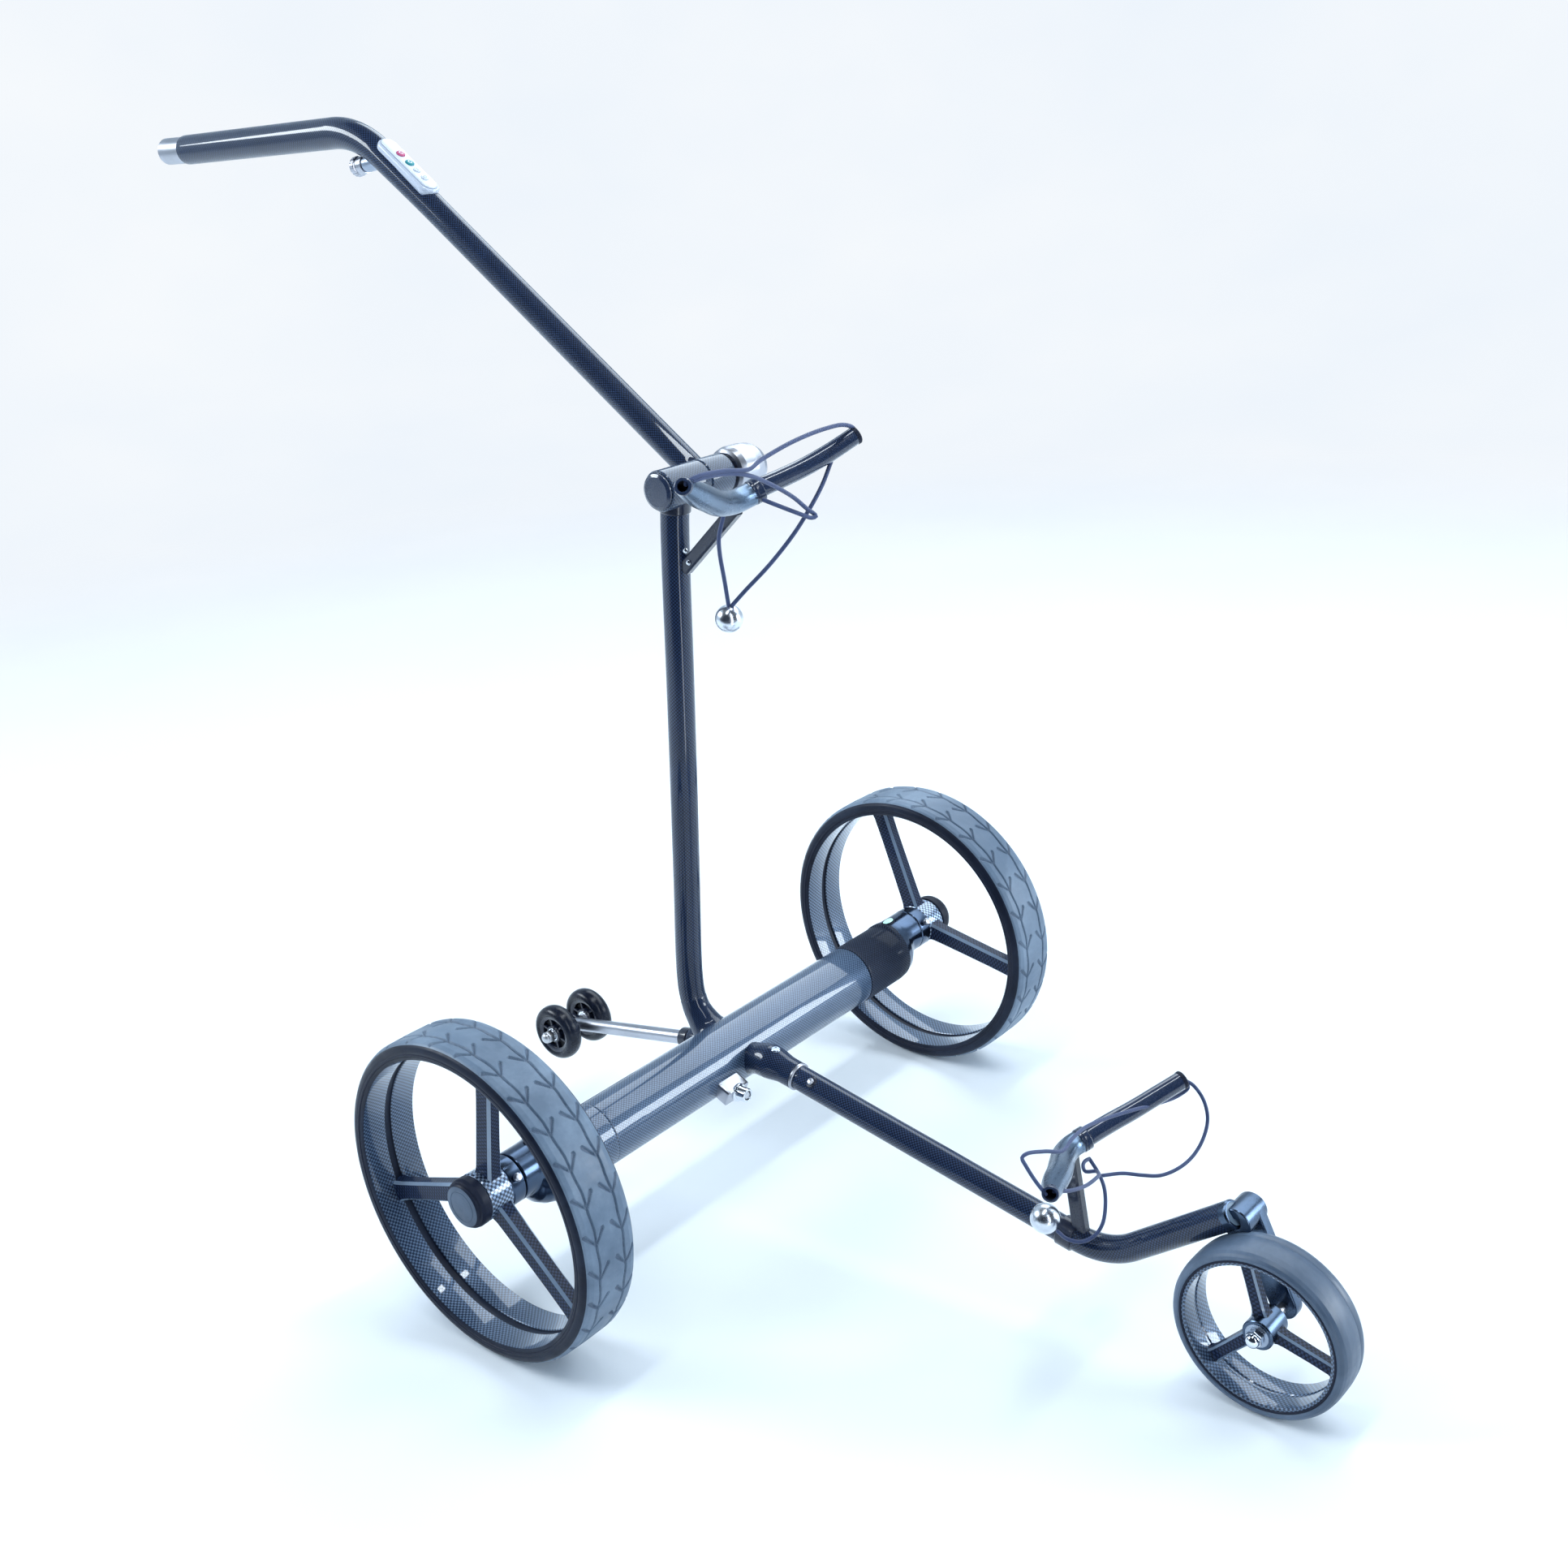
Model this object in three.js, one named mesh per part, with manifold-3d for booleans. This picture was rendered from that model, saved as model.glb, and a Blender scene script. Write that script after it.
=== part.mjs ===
// Electric golf trolley, millimetres, +Z up, -Y forward, +X to the trolley's left.
// Origin: on the ground under the middle of the wheel axle.
import * as THREE from 'three';
import Module from 'manifold-3d';

const wasm = await Module();
wasm.setup();

// ---------- driving dimensions ----------
// An AXIS is the [y, z] of a line parallel to X.
const GAP = 0.3;                 // clearance between neighbouring solids

const PINION_TEETH = 10;
const GEAR_TEETH = 20;
const GEAR_MODULE = 0.7;

const WHEEL_R = 145;             // drive wheel rolling radius
const WHEEL_MID_X = 299.5;
const WHEEL_FACETS = 32;
const WHEEL_AXIS = [0, WHEEL_R];
const RIM_R = 134;
const RIM_INNER_R = 129.5;
const HUB_R = 21.5;
const SHAFT_R = 5.5;
const SHAFT_BORE_R = SHAFT_R + 0.4;

// the pinion on the beam axis meshes with the gear on the wheel axis above it
const BEAM_Z = WHEEL_R - GEAR_MODULE * (PINION_TEETH + GEAR_TEETH) / 2;
const BEAM_AXIS = [0, BEAM_Z];
const BEAM_R = 30;
const BEAM_BORE_R = 27.5;
const BEAM_HALF = 178;           // half length

const STRUT_R = 11.5;
const HINGE_AXIS = [-1.1, 670.7];
const HINGE = [0, ...HINGE_AXIS];
const HINGE_R = 17.5;

const HANDLE_X = 38;
const HANDLE_SLOPE = THREE.MathUtils.degToRad(36.7);
const HANDLE_R = 10.8;
const GRIP_R = 13.6;
const GRIP_Z = 969;
const GRIP_END = [HANDLE_X, 693.6, GRIP_Z - 1.4];

const FRONT_R = 10.7;            // front tube
const FRONT_WHEEL_R = 71.7;
const FRONT_WHEEL_X = -16;
const FRONT_WHEEL_FACETS = 28;
const FRONT_AXIS = [-553.4, FRONT_WHEEL_R];
const FRONT_BOLT_BORE_R = 4.4;

const ANTITIP_AXIS = [222.6, 99.3];
const ANTITIP = [0, ...ANTITIP_AXIS];
const ANTITIP_R = 28.5;
const ANTITIP_ROD_BORE_R = 7.1;

// ---------- finishes ----------
const FINISH = {
  carbon: { color: 0x232a44, roughness: 0.25, metalness: 0.1 },
  dark: { color: 0x1b1e27, roughness: 0.45, metalness: 0.1 },
  chrome: { color: 0xdfe3ea, roughness: 0.12, metalness: 1 },
  silver: { color: 0xd8dce4, roughness: 0.28, metalness: 0.9 },
  rubber: { color: 0x3d465a, roughness: 0.8, metalness: 0 },
  black: { color: 0x14151c, roughness: 0.2, metalness: 0 },
  cord: { color: 0x2c2e52, roughness: 0.7, metalness: 0 },
  steel: { color: 0xb9bec8, roughness: 0.3, metalness: 0.9 },
  battery: { color: 0x2f6ad0, roughness: 0.4, metalness: 0 },
  circuit: { color: 0x2c7a4a, roughness: 0.5, metalness: 0 },
  lamp: { color: 0x9df0d4, roughness: 0.3, metalness: 0 },
};
const buttonFinish = (color) => ({ color, roughness: 0.4, metalness: 0.1 });

// ---------- geometry to solid and back ----------
const WELDS_PER_MM = 2000;       // vertices that round to the same step are merged

function toSolid(geometry) {
  const position = (geometry.index ? geometry.toNonIndexed() : geometry).attributes.position;
  const points = [];
  const indexOf = new Map();
  const weld = (i) => {
    const point = new THREE.Vector3().fromBufferAttribute(position, i);
    const key = point.toArray().map((value) => Math.round(value * WELDS_PER_MM)).join();
    if (!indexOf.has(key)) {
      indexOf.set(key, points.length);
      points.push(point);
    }
    return indexOf.get(key);
  };
  const triangles = [];
  let volume = 0;                // six times the signed volume; only its sign matters
  for (let i = 0; i < position.count; i += 3) {
    const [a, b, c] = [weld(i), weld(i + 1), weld(i + 2)];
    if (a === b || b === c || a === c) continue;
    triangles.push([a, b, c]);
    volume += points[a].dot(points[b].clone().cross(points[c]));
  }
  // a surface that came inside out is turned the right way
  const outward = ([a, b, c]) => (volume < 0 ? [b, a, c] : [a, b, c]);
  return new wasm.Manifold(new wasm.Mesh({
    numProp: 3,
    vertProperties: new Float32Array(points.flatMap((point) => point.toArray())),
    triVerts: new Uint32Array(triangles.flatMap(outward)),
  }));
}

function toGeometry(solid) {
  const mesh = solid.getMesh();
  const geometry = new THREE.BufferGeometry();
  geometry.setAttribute('position', new THREE.Float32BufferAttribute(mesh.vertProperties, 3));
  geometry.setIndex(new THREE.Uint32BufferAttribute(mesh.triVerts, 1));
  geometry.computeVertexNormals();
  return geometry;
}

const join = (...solids) => solids.reduce((sum, solid) => sum.add(solid));
const cut = (body, ...tools) => tools.reduce((rest, tool) => rest.subtract(tool), body);
const mirrored = (solid) => toSolid(toGeometry(solid).scale(-1, 1, 1));

// ---------- scene ----------
const root = new THREE.Group();

// group for a moving body, with its origin at the given point
function bodyAt(position) {
  const group = new THREE.Group();
  group.position.set(...position);
  root.add(group);
  return group;
}

// add a solid that is built in its group's own coordinates
function add(group, name, solid, finish) {
  const mesh = new THREE.Mesh(toGeometry(solid), new THREE.MeshStandardMaterial(finish));
  mesh.name = name;
  group.add(mesh);
}

// add a solid that is built in trolley coordinates
function addPlaced(group, name, solid, finish) {
  const { x, y, z } = group.position;
  add(group, name, toSolid(toGeometry(solid).translate(-x, -y, -z)), finish);
}

// ---------- shapes ----------
// A profile is a list of [radius, distance along the axis].
const vector = (point) => new THREE.Vector3(...point);
const unit = (...xyz) => vector(xyz).normalize().toArray();
const pointAlong = (start, direction, distance) =>
  start.map((value, i) => value + direction[i] * distance);
const closed = (profile) => [...profile, profile[0]];
const disc = (radius, from, to, endRadius = radius) =>
  [[0, from], [radius, from], [endRadius, to], [0, to]];

// profile revolved about X
function lathe(profile, facets, startAngle = 0) {
  const points = profile.map(([radius, x]) => new THREE.Vector2(radius, x));
  return new THREE.LatheGeometry(points, facets, startAngle).rotateZ(-Math.PI / 2);
}
const latheX = (profile, facets, [y, z] = [0, 0]) =>
  toSolid(lathe(profile, facets).translate(0, y, z));
const cylinderX = (radius, x0, x1, axis, facets = 10) =>
  latheX(disc(radius, x0, x1), facets, axis);

// wheel round that rests on a flat; cornerRadius puts its flats at the wanted radius
const wheelRound = (profile, facets) => toSolid(lathe(profile, facets, Math.PI / facets));
const cornerRadius = (flatRadius, facets) => flatRadius / Math.cos(Math.PI / facets);

// profile revolved about the line that starts at one point and runs towards another
function turned(profile, from, towards, facets = 12) {
  const direction = vector(towards).sub(vector(from)).normalize();
  const turn = new THREE.Quaternion().setFromUnitVectors(vector([1, 0, 0]), direction);
  return toSolid(lathe(profile, facets).applyQuaternion(turn).translate(...from));
}
function rod(from, to, radius, facets = 12, endRadius = radius) {
  const length = vector(from).distanceTo(vector(to));
  return turned(disc(radius, 0, length, endRadius), from, to, facets);
}

function box(centre, size, tiltX = 0) {
  return toSolid(new THREE.BoxGeometry(...size).rotateX(tiltX).translate(...centre));
}
function ball(centre, radius, around = 12, down = around / 2) {
  return toSolid(new THREE.SphereGeometry(radius, around, down).translate(...centre));
}

// hexagonal nut with a domed outer end
const domedNut = (innerX, outerX, radius, domeRadius, axis) => join(
  cylinderX(radius, innerX, outerX, axis, 6),
  ball([outerX, ...axis], domeRadius, 12, 8),
);

// three spokes about X; angles are measured from +Y towards +Z
function spokes({ x, thickness, width, inner, outer, firstDeg }) {
  return [0, 1, 2].map((k) => toSolid(
    new THREE.BoxGeometry(thickness, outer - inner, width)
      .translate(x, (inner + outer) / 2, 0)
      .rotateX(THREE.MathUtils.degToRad(firstDeg + 120 * k)),
  ));
}

// round tube along a smooth curve through the points
function tube(points, radius, steps, facets) {
  const extrudePath = new THREE.CatmullRomCurve3(points.map(vector), false, 'centripetal');
  const circle = Array.from({ length: facets }, (_, i) => {
    const angle = 2 * Math.PI * i / facets;
    return new THREE.Vector2(radius * Math.cos(angle), radius * Math.sin(angle));
  });
  const options = { steps, bevelEnabled: false, extrudePath };
  return toSolid(new THREE.ExtrudeGeometry(new THREE.Shape(circle), options));
}

// straight - arc - straight line in a plane of constant X; start, corner and end are [y, z]
function bentLine(x, startYZ, cornerYZ, endYZ, radius, arcSteps) {
  const [start, corner, end] = [startYZ, cornerYZ, endYZ].map((point) => vector([x, ...point]));
  const toStart = start.clone().sub(corner).normalize();
  const toEnd = end.clone().sub(corner).normalize();
  const half = toStart.angleTo(toEnd) / 2;
  const middle = toStart.clone().add(toEnd).normalize();
  const centre = corner.clone().addScaledVector(middle, radius / Math.sin(half));
  const tangent = radius / Math.tan(half);
  const first = corner.clone().addScaledVector(toStart, tangent).sub(centre);
  const last = corner.clone().addScaledVector(toEnd, tangent).sub(centre);
  const sweep = first.angleTo(last);
  const arc = [];
  for (let i = 0; i <= arcSteps; i++) {
    const share = i / arcSteps;
    arc.push(centre.clone()
      .addScaledVector(first, Math.sin((1 - share) * sweep) / Math.sin(sweep))
      .addScaledVector(last, Math.sin(share * sweep) / Math.sin(sweep)));
  }
  return [start, ...arc, end];
}

// tube with one ring of vertices at every point of a line in a plane of constant X
function bentTube(line, radiusAt, facets) {
  const across = vector([1, 0, 0]);
  const rings = line.map((point, i) => {
    const before = line[Math.max(i - 1, 0)];
    const after = line[Math.min(i + 1, line.length - 1)];
    const up = after.clone().sub(before).normalize().cross(across).normalize();
    const radius = radiusAt(point);
    return Array.from({ length: facets }, (_, k) => {
      const angle = 2 * Math.PI * k / facets;
      return point.clone()
        .addScaledVector(across, radius * Math.cos(angle))
        .addScaledVector(up, radius * Math.sin(angle));
    });
  });
  const corners = [];
  for (let i = 0; i + 1 < rings.length; i++) {
    const [ring, next] = [rings[i], rings[i + 1]];
    for (let k = 0; k < facets; k++) {
      const m = (k + 1) % facets;
      corners.push(ring[k], ring[m], next[m], ring[k], next[m], next[k]);
    }
  }
  const [startRing, endRing] = [rings[0], rings.at(-1)];
  for (let k = 1; k + 1 < facets; k++) {
    corners.push(startRing[0], startRing[k + 1], startRing[k]);
    corners.push(endRing[0], endRing[k], endRing[k + 1]);
  }
  return toSolid(new THREE.BufferGeometry().setFromPoints(corners));
}

// ---------- axle beam ----------
const beamClearance = (x0, x1) => cylinderX(BEAM_R + GAP, x0, x1, BEAM_AXIS, 24);

add(root, 'axle_tube', latheX(closed([
  [BEAM_BORE_R, -BEAM_HALF], [BEAM_R, -BEAM_HALF], [BEAM_R, BEAM_HALF], [BEAM_BORE_R, BEAM_HALF],
]), 24, BEAM_AXIS), FINISH.carbon);
add(root, 'battery_pack', latheX(
  [[0, -66], [23, -66], [25, -64], [25, 108], [23, 110], [0, 110]], 14, BEAM_AXIS,
), FINISH.battery);
add(root, 'motor_controller', join(
  box([-92, 0, BEAM_Z - 6], [40, 34, 2]),
  box([-96, 4, BEAM_Z - 2], [22, 16, 7]),
  box([-80, -9, BEAM_Z - 2.5], [8, 8, 6]),
), FINISH.circuit);

// ---------- gears ----------
const TOOTH = {
  addendum: 0.42, dedendum: 0.62,
  rootHalf: 0.52, pitchHalf: 0.36, tipHalf: 0.2,   // half thicknesses
};

// spur gear about X; firstAngle turns its first tooth from -Z towards +Y
function spurGear(teeth, x0, x1, firstAngle) {
  const pitchR = teeth * GEAR_MODULE / 2;
  const tipR = pitchR + TOOTH.addendum;
  const rootR = pitchR - TOOTH.dedendum;
  const flank = [             // [radius, half angle], root to tip
    [rootR, TOOTH.rootHalf / rootR],
    [pitchR, TOOTH.pitchHalf / pitchR],
    [tipR, TOOTH.tipHalf / tipR],
  ];
  const tooth = [
    ...flank.map(([radius, angle]) => [radius, -angle]),
    ...flank.toReversed(),
  ];
  const outline = [];
  for (let i = 0; i < teeth; i++) {
    const centre = 2 * Math.PI * i / teeth + firstAngle;
    for (const [radius, angle] of tooth) {
      outline.push(new THREE.Vector2(
        radius * Math.cos(centre + angle), radius * Math.sin(centre + angle),
      ));
    }
  }
  const options = { depth: x1 - x0, bevelEnabled: false };
  // shape x -> -Z, shape y -> +Y, depth -> +X
  return toSolid(new THREE.ExtrudeGeometry(new THREE.Shape(outline), options)
    .rotateY(Math.PI / 2).translate(x0, 0, 0));
}

// ---------- drive on each side; built for the left ----------
// round shell on the beam axis fading into a neck on the wheel axis
function endSleeve() {
  const shell = latheX([
    [0, 178.3], [BEAM_R - 0.6, 178.3], [BEAM_R, 179.2], [BEAM_R, 236], [29.2, 243.5],
    [26.6, 251.5], [22, 258.5], [15, 264], [7, 267.3], [0, 268],
  ], 24, BEAM_AXIS);
  const neck = latheX([
    [0, 195], [14, 195], [HUB_R, 203], [HUB_R, 275.2], [HUB_R - 0.5, 275.7], [0, 275.7],
  ], 22, WHEEL_AXIS);
  return cut(
    join(shell, neck),
    cylinderX(27, 177, 230, BEAM_AXIS, 20),
    cylinderX(SHAFT_BORE_R, 225, 277, WHEEL_AXIS, 14),
  );
}

// thin oval lens on top of the neck
function statusLight() {
  const oval = new THREE.CylinderGeometry(1, 1, 8, 20)
    .rotateX(Math.PI / 2).scale(8, 4.6, 1).translate(247.5, 0, 164.4);
  return cut(toSolid(oval), cylinderX(HUB_R + GAP, 230, 265, WHEEL_AXIS, 22));
}

const motor = () => cut(
  latheX([
    [0, 118], [22, 118], [24, 120], [24, 186], [20, 190], [11, 190], [11, 197], [0, 197],
  ], 14, BEAM_AXIS),
  cylinderX(2.4, 189, 198, BEAM_AXIS),
);

// on the line of centres a gap of the pinion faces a tooth of the gear
const pinion = () => join(spurGear(PINION_TEETH, 199.5, 207, 0), cylinderX(2, 191, 207));
const axleShaft = () => join(
  spurGear(GEAR_TEETH, 200, 206.5, Math.PI / GEAR_TEETH),
  cylinderX(SHAFT_R, 200, 306, [0, 0], 12),
);

// the release pin stands radially in the hub
const PIN_ANGLE = THREE.MathUtils.degToRad(150);
const PIN_DIRECTION = [0, Math.cos(PIN_ANGLE), Math.sin(PIN_ANGLE)];
const onPin = (radius) => pointAlong([284.5, 0, 0], PIN_DIRECTION, radius);
const releasePin = () => turned([
  [0, 0], [2.1, 0], [2.1, 11.6], [3.6, 11.6], [3.6, 14], [2.8, 15], [0, 15],
], onPin(12), onPin(27), 10);

function driveWheel(firstDeg) {
  const hub = latheX([
    [0, 276.2], [HUB_R - 0.8, 276.2], [HUB_R, 277], [HUB_R, 312.4], [HUB_R - 0.6, 313], [0, 313],
  ], 20);
  const hoop = wheelRound(closed([
    [RIM_INNER_R, 274], [RIM_R - 2, 272.4], [RIM_R, 273.4], [RIM_R, 325.6], [RIM_R - 2, 326.6],
    [RIM_INNER_R, 325], [RIM_INNER_R, 302], [RIM_INNER_R + 1, 301.2], [RIM_INNER_R + 1, 297.8],
    [RIM_INNER_R, 297],
  ]), WHEEL_FACETS);
  const arms = spokes({
    x: WHEEL_MID_X, thickness: 14, width: 18, inner: 15, outer: RIM_R - 2.5, firstDeg,
  });
  return cut(
    join(hub, hoop, ...arms),
    cylinderX(SHAFT_BORE_R, 275, 306.6, [0, 0], 14),
    cylinderX(8.4, 309.2, 314, [0, 0], 12),
    rod(onPin(9.8), onPin(24), 2.5, 10),
  );
}

function driveTyre() {
  const tread = cornerRadius(WHEEL_R, WHEEL_FACETS);
  const shoulder = cornerRadius(WHEEL_R - 1.6, WHEEL_FACETS);
  return wheelRound(closed([
    [RIM_R + 0.5, 271.6], [137, 271], [140.5, 272], [shoulder, 275], [tread, 279],
    [tread, 320], [shoulder, 324], [140.5, 327], [137, 328], [RIM_R + 0.5, 327.4],
  ]), WHEEL_FACETS);
}

const hubCap = () => latheX([
  [0, 309.6], [8, 309.6], [8, 313.4], [HUB_R - 1, 313.4], [HUB_R, 314.4], [HUB_R, 322],
  [18.4, 327.6], [17.6, 328], [0, 328],
], 20);

const SIDES = [
  { side: 'left', firstSpokeDeg: 71, place: (solid) => solid },
  { side: 'right', firstSpokeDeg: 101, place: mirrored },
];
for (const { side, firstSpokeDeg, place } of SIDES) {
  const addSide = (group, name, solid, finish) =>
    add(group, `${side}_${name}`, place(solid), finish);
  const wheelCentre = [0, ...WHEEL_AXIS];
  addSide(root, 'end_sleeve', endSleeve(), FINISH.dark);
  addSide(root, 'status_light', statusLight(), FINISH.lamp);
  addSide(root, 'motor', motor(), FINISH.steel);
  addSide(bodyAt([0, ...BEAM_AXIS]), 'pinion', pinion(), FINISH.steel);
  addSide(bodyAt(wheelCentre), 'axle_shaft', axleShaft(), FINISH.steel);
  const wheelBody = bodyAt(wheelCentre);
  addSide(wheelBody, 'wheel', driveWheel(firstSpokeDeg), FINISH.carbon);
  addSide(wheelBody, 'tyre', driveTyre(), FINISH.rubber);
  addSide(wheelBody, 'hub_cap', hubCap(), FINISH.dark);
  addSide(bodyAt(wheelCentre), 'release_pin', releasePin(), FINISH.chrome);
}

// ---------- swept strut with its foot and the anti-tip boss ----------
// centre of the anti-tip rod at a given y
const onRod = (y) => [0, y, 129.3 - (y - 63.6) * 0.187 / 0.982];
const STRUT_LINE = [             // [x, y, z], top to foot
  [0, -1, 671], [0, 3.3, 643], [0, 7.8, 600], [0, 24.8, 411], [0, 35, 305.5],
  [0, 44.7, 203], [0, 43.6, 180], [0, 37, 161], [0, 25, 147], [0, 8, 138],
];
const strutTube = (radius) => tube(STRUT_LINE, radius, 28, 12);

function strut() {
  const gusset = new THREE.SphereGeometry(1, 20, 12).scale(36, 16, 17).translate(0, 22, 153);
  const collar = rod([0, 0.4, 661], [0, 2.6, 647], 13.6, 14);
  const boss = rod(onRod(16), onRod(50), 11.5);
  return cut(
    join(strutTube(STRUT_R), toSolid(gusset), collar, boss),
    beamClearance(-60, 60),
    cylinderX(HINGE_R + GAP, -40, 60, HINGE_AXIS, 20),
    rod(onRod(33.5), onRod(70), ANTITIP_ROD_BORE_R),
  );
}
add(root, 'strut', strut(), FINISH.carbon);
add(root, 'antitip_collar', cut(
  turned([[0, 0], [9.2, 0], [10, 0.8], [10, 11], [9.2, 11.8], [0, 11.8]], onRod(50.4), onRod(63)),
  rod(onRod(40), onRod(80), ANTITIP_ROD_BORE_R),
), FINISH.dark);

// ---------- fold hinge on top of the strut ----------
const hingeBore = cylinderX(6.2, -30, 71, HINGE_AXIS, 12);
add(root, 'hinge_fixed_knuckle', cut(latheX([
  [0, -19.7], [HINGE_R - 1, -19.7], [HINGE_R, -18.7], [HINGE_R, 26.9], [HINGE_R - 0.8, 27.7],
  [0, 27.7],
], 20, HINGE_AXIS), hingeBore), FINISH.carbon);
add(root, 'hinge_end_cap', latheX(
  [[0, -23], [12, -23], [15.6, -21.6], [15.6, -20], [0, -20]], 14, HINGE_AXIS,
), FINISH.dark);
add(root, 'hinge_pin', cylinderX(5.8, -19.4, 68, HINGE_AXIS, 12), FINISH.steel);

// ---------- bag cradles ----------
// The right arm ends in a ring that holds the left arm; its own tip is bored.
const armTube = (line, radius) => tube(line, radius, 11, 10);
function cradleArms({ rightLine, leftLine, armR, ring, tipBore }) {
  const ringDisc = (radius, length) =>
    turned(disc(radius, 0, length), ring.from, ring.towards);
  const right = join(armTube(rightLine, armR), ringDisc(ring.radius, ring.length));
  return {
    right: cut(right, rod(tipBore.from, tipBore.to, tipBore.radius, 10)),
    left: cut(tube(leftLine, 7.8, 7, 10), ringDisc(ring.radius + 1, ring.clearLength)),
  };
}
const cordTube = (points, steps) => tube(points, 1.6, steps, 8);

const UPPER_RIGHT_ARM = [
  [-104.4, -112.7, 700], [-60, -93.5, 680], [-22, -79.4, 664.5], [0, -76, 661], [9, -77.2, 662.3],
];
const BRACE_REAR = [-4, 601];    // [y, z] on the brace's centre line
const BRACE_FRONT = [-68, 657];

function upperBrace() {
  const [rise, run] = [BRACE_REAR[1] - BRACE_FRONT[1], BRACE_REAR[0] - BRACE_FRONT[0]];
  const centre = [0, ...BRACE_REAR.map((value, i) => (value + BRACE_FRONT[i]) / 2)];
  return cut(
    box(centre, [9.5, 86, 11.5], Math.atan2(rise, run)),
    strutTube(STRUT_R + GAP),
    armTube(UPPER_RIGHT_ARM, 10 + GAP),
    box([0, -90, 700], [60, 60, 60]),
  );
}
add(root, 'upper_brace', upperBrace(), FINISH.carbon);

const upperCradle = cradleArms({
  rightLine: UPPER_RIGHT_ARM,
  leftLine: [[19, -82, 667.5], [60, -93.5, 680], [104.4, -112.7, 700]],
  armR: 10,
  ring: {
    from: [9.4, -77.6, 662.8], towards: [18, -81.5, 667],
    radius: 10.6, length: 8, clearLength: 8.6,
  },
  tipBore: { from: [-120, -119.4, 707], to: [-92, -107, 694.6], radius: 6 },
});
add(root, 'upper_cradle', upperCradle.right, FINISH.carbon);
add(root, 'upper_cradle_arm', upperCradle.left, FINISH.carbon);
add(root, 'upper_cord', cordTube([
  [-90, -116, 706], [-62, -115.5, 704.6], [-34, -116.7, 701], [-14, -113.6, 703.4],
  [26, -113.8, 710.1], [68, -113.6, 712.8], [90, -114, 712.5],
], 17), FINISH.cord);
add(root, 'upper_cord_ball', join(ball([0, -49, 562], 12), cordTube([
  [66, -106.5, 663.6], [50, -104.3, 649.5], [36, -96.7, 630.4], [18, -83.4, 607.5],
  [6, -64.9, 586.6], [1, -53.4, 572],
], 11)), FINISH.chrome);

// ---------- handle ----------
const handleBody = bodyAt(HINGE);
const cosSlope = Math.cos(HANDLE_SLOPE);
const sinSlope = Math.sin(HANDLE_SLOPE);
// point at a distance up the slope and a height square to it
const onHandle = (along, height = 0) => [
  HANDLE_X,
  170 + along * cosSlope - height * sinSlope,
  793 + along * sinSlope + height * cosSlope,
];
const knobAxis = (y) => [HANDLE_X, y, 944.2 - (y - 372) * 0.11];

function handleCentreLine() {
  const startY = HINGE_AXIS[0] + 6 * cosSlope;
  const startZ = 793.8 - (170 - startY) * Math.tan(HANDLE_SLOPE);
  const [start, ...rest] =
    bentLine(HANDLE_X, [startY, startZ], [405, 971.5], GRIP_END.slice(1), 112, 10);
  // extra stations before the bend let the tube widen evenly into the grip
  const stations = [0.25, 0.5, 0.62, 0.74, 0.86].map((share) => start.clone().lerp(rest[0], share));
  return [start, ...stations, ...rest];
}
const handleLine = handleCentreLine();
const handleRadius = ({ y }) =>
  HANDLE_R + (GRIP_R - HANDLE_R) * THREE.MathUtils.smoothstep(y, 300, 440);
const handleShape = (extra) => bentTube(handleLine, (point) => handleRadius(point) + extra, 14);

addPlaced(handleBody, 'handle_tube', cut(
  join(handleShape(0), rod(knobAxis(372), knobAxis(399), 7.4, 10)),
  cylinderX(HINGE_R + GAP, 10, 70, HINGE_AXIS, 20),
  rod([HANDLE_X, 474, GRIP_Z + 1.5], [HANDLE_X, GRIP_END[1] + 4, GRIP_Z - 1.5], 11.4),
  rod(onHandle(-200, 0.7), onHandle(150, 0.7), 8.4),
  rod(knobAxis(388), knobAxis(440), 2.5, 10),
), FINISH.carbon);
addPlaced(handleBody, 'hinge_moving_knuckle', cut(latheX([
  [0, 28], [HINGE_R - 0.8, 28], [HINGE_R, 28.8], [HINGE_R, 57], [HINGE_R - 0.8, 57.8],
  [14.5, 57.8], [14.5, 61.8], [0, 61.8],
], 20, HINGE_AXIS), hingeBore), FINISH.carbon);

// control pod: round-ended slab saddled on the slope of the tube
const POD_MID = 221;             // distance up the slope
const POD_LENGTH = 81;
const POD_WIDTH = 24;
const BUTTONS = [                // fromEnd: distance down from the pod's upper end
  { name: 'power_button', fromEnd: 27, color: 0xd0405c },
  { name: 'go_button', fromEnd: 41, color: 0x1f9a8a },
  { name: 'minus_button', fromEnd: 52, color: 0xc9ced8 },
  { name: 'plus_button', fromEnd: 64, color: 0xc9ced8 },
];
const buttonPoint = ({ fromEnd }, height) =>
  onHandle(POD_MID + POD_LENGTH / 2 - fromEnd, height);

function podSlab(bottom, top, inset) {
  const radius = POD_WIDTH / 2 - inset;
  const endCentre = (POD_LENGTH - POD_WIDTH) / 2;
  const outline = new THREE.Shape();
  outline.absarc(endCentre, 0, radius, -Math.PI / 2, Math.PI / 2, false);
  outline.absarc(-endCentre, 0, radius, Math.PI / 2, 3 * Math.PI / 2, false);
  outline.closePath();
  // shape x runs up the tube, shape y across, depth away from the tube
  const frame = new THREE.Matrix4().makeBasis(
    vector([0, cosSlope, sinSlope]), vector([-1, 0, 0]), vector([0, -sinSlope, cosSlope]),
  ).setPosition(...onHandle(POD_MID));
  const options = { depth: top - bottom, bevelEnabled: false, curveSegments: 10 };
  return toSolid(new THREE.ExtrudeGeometry(outline, options)
    .translate(0, 0, bottom).applyMatrix4(frame));
}
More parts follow.
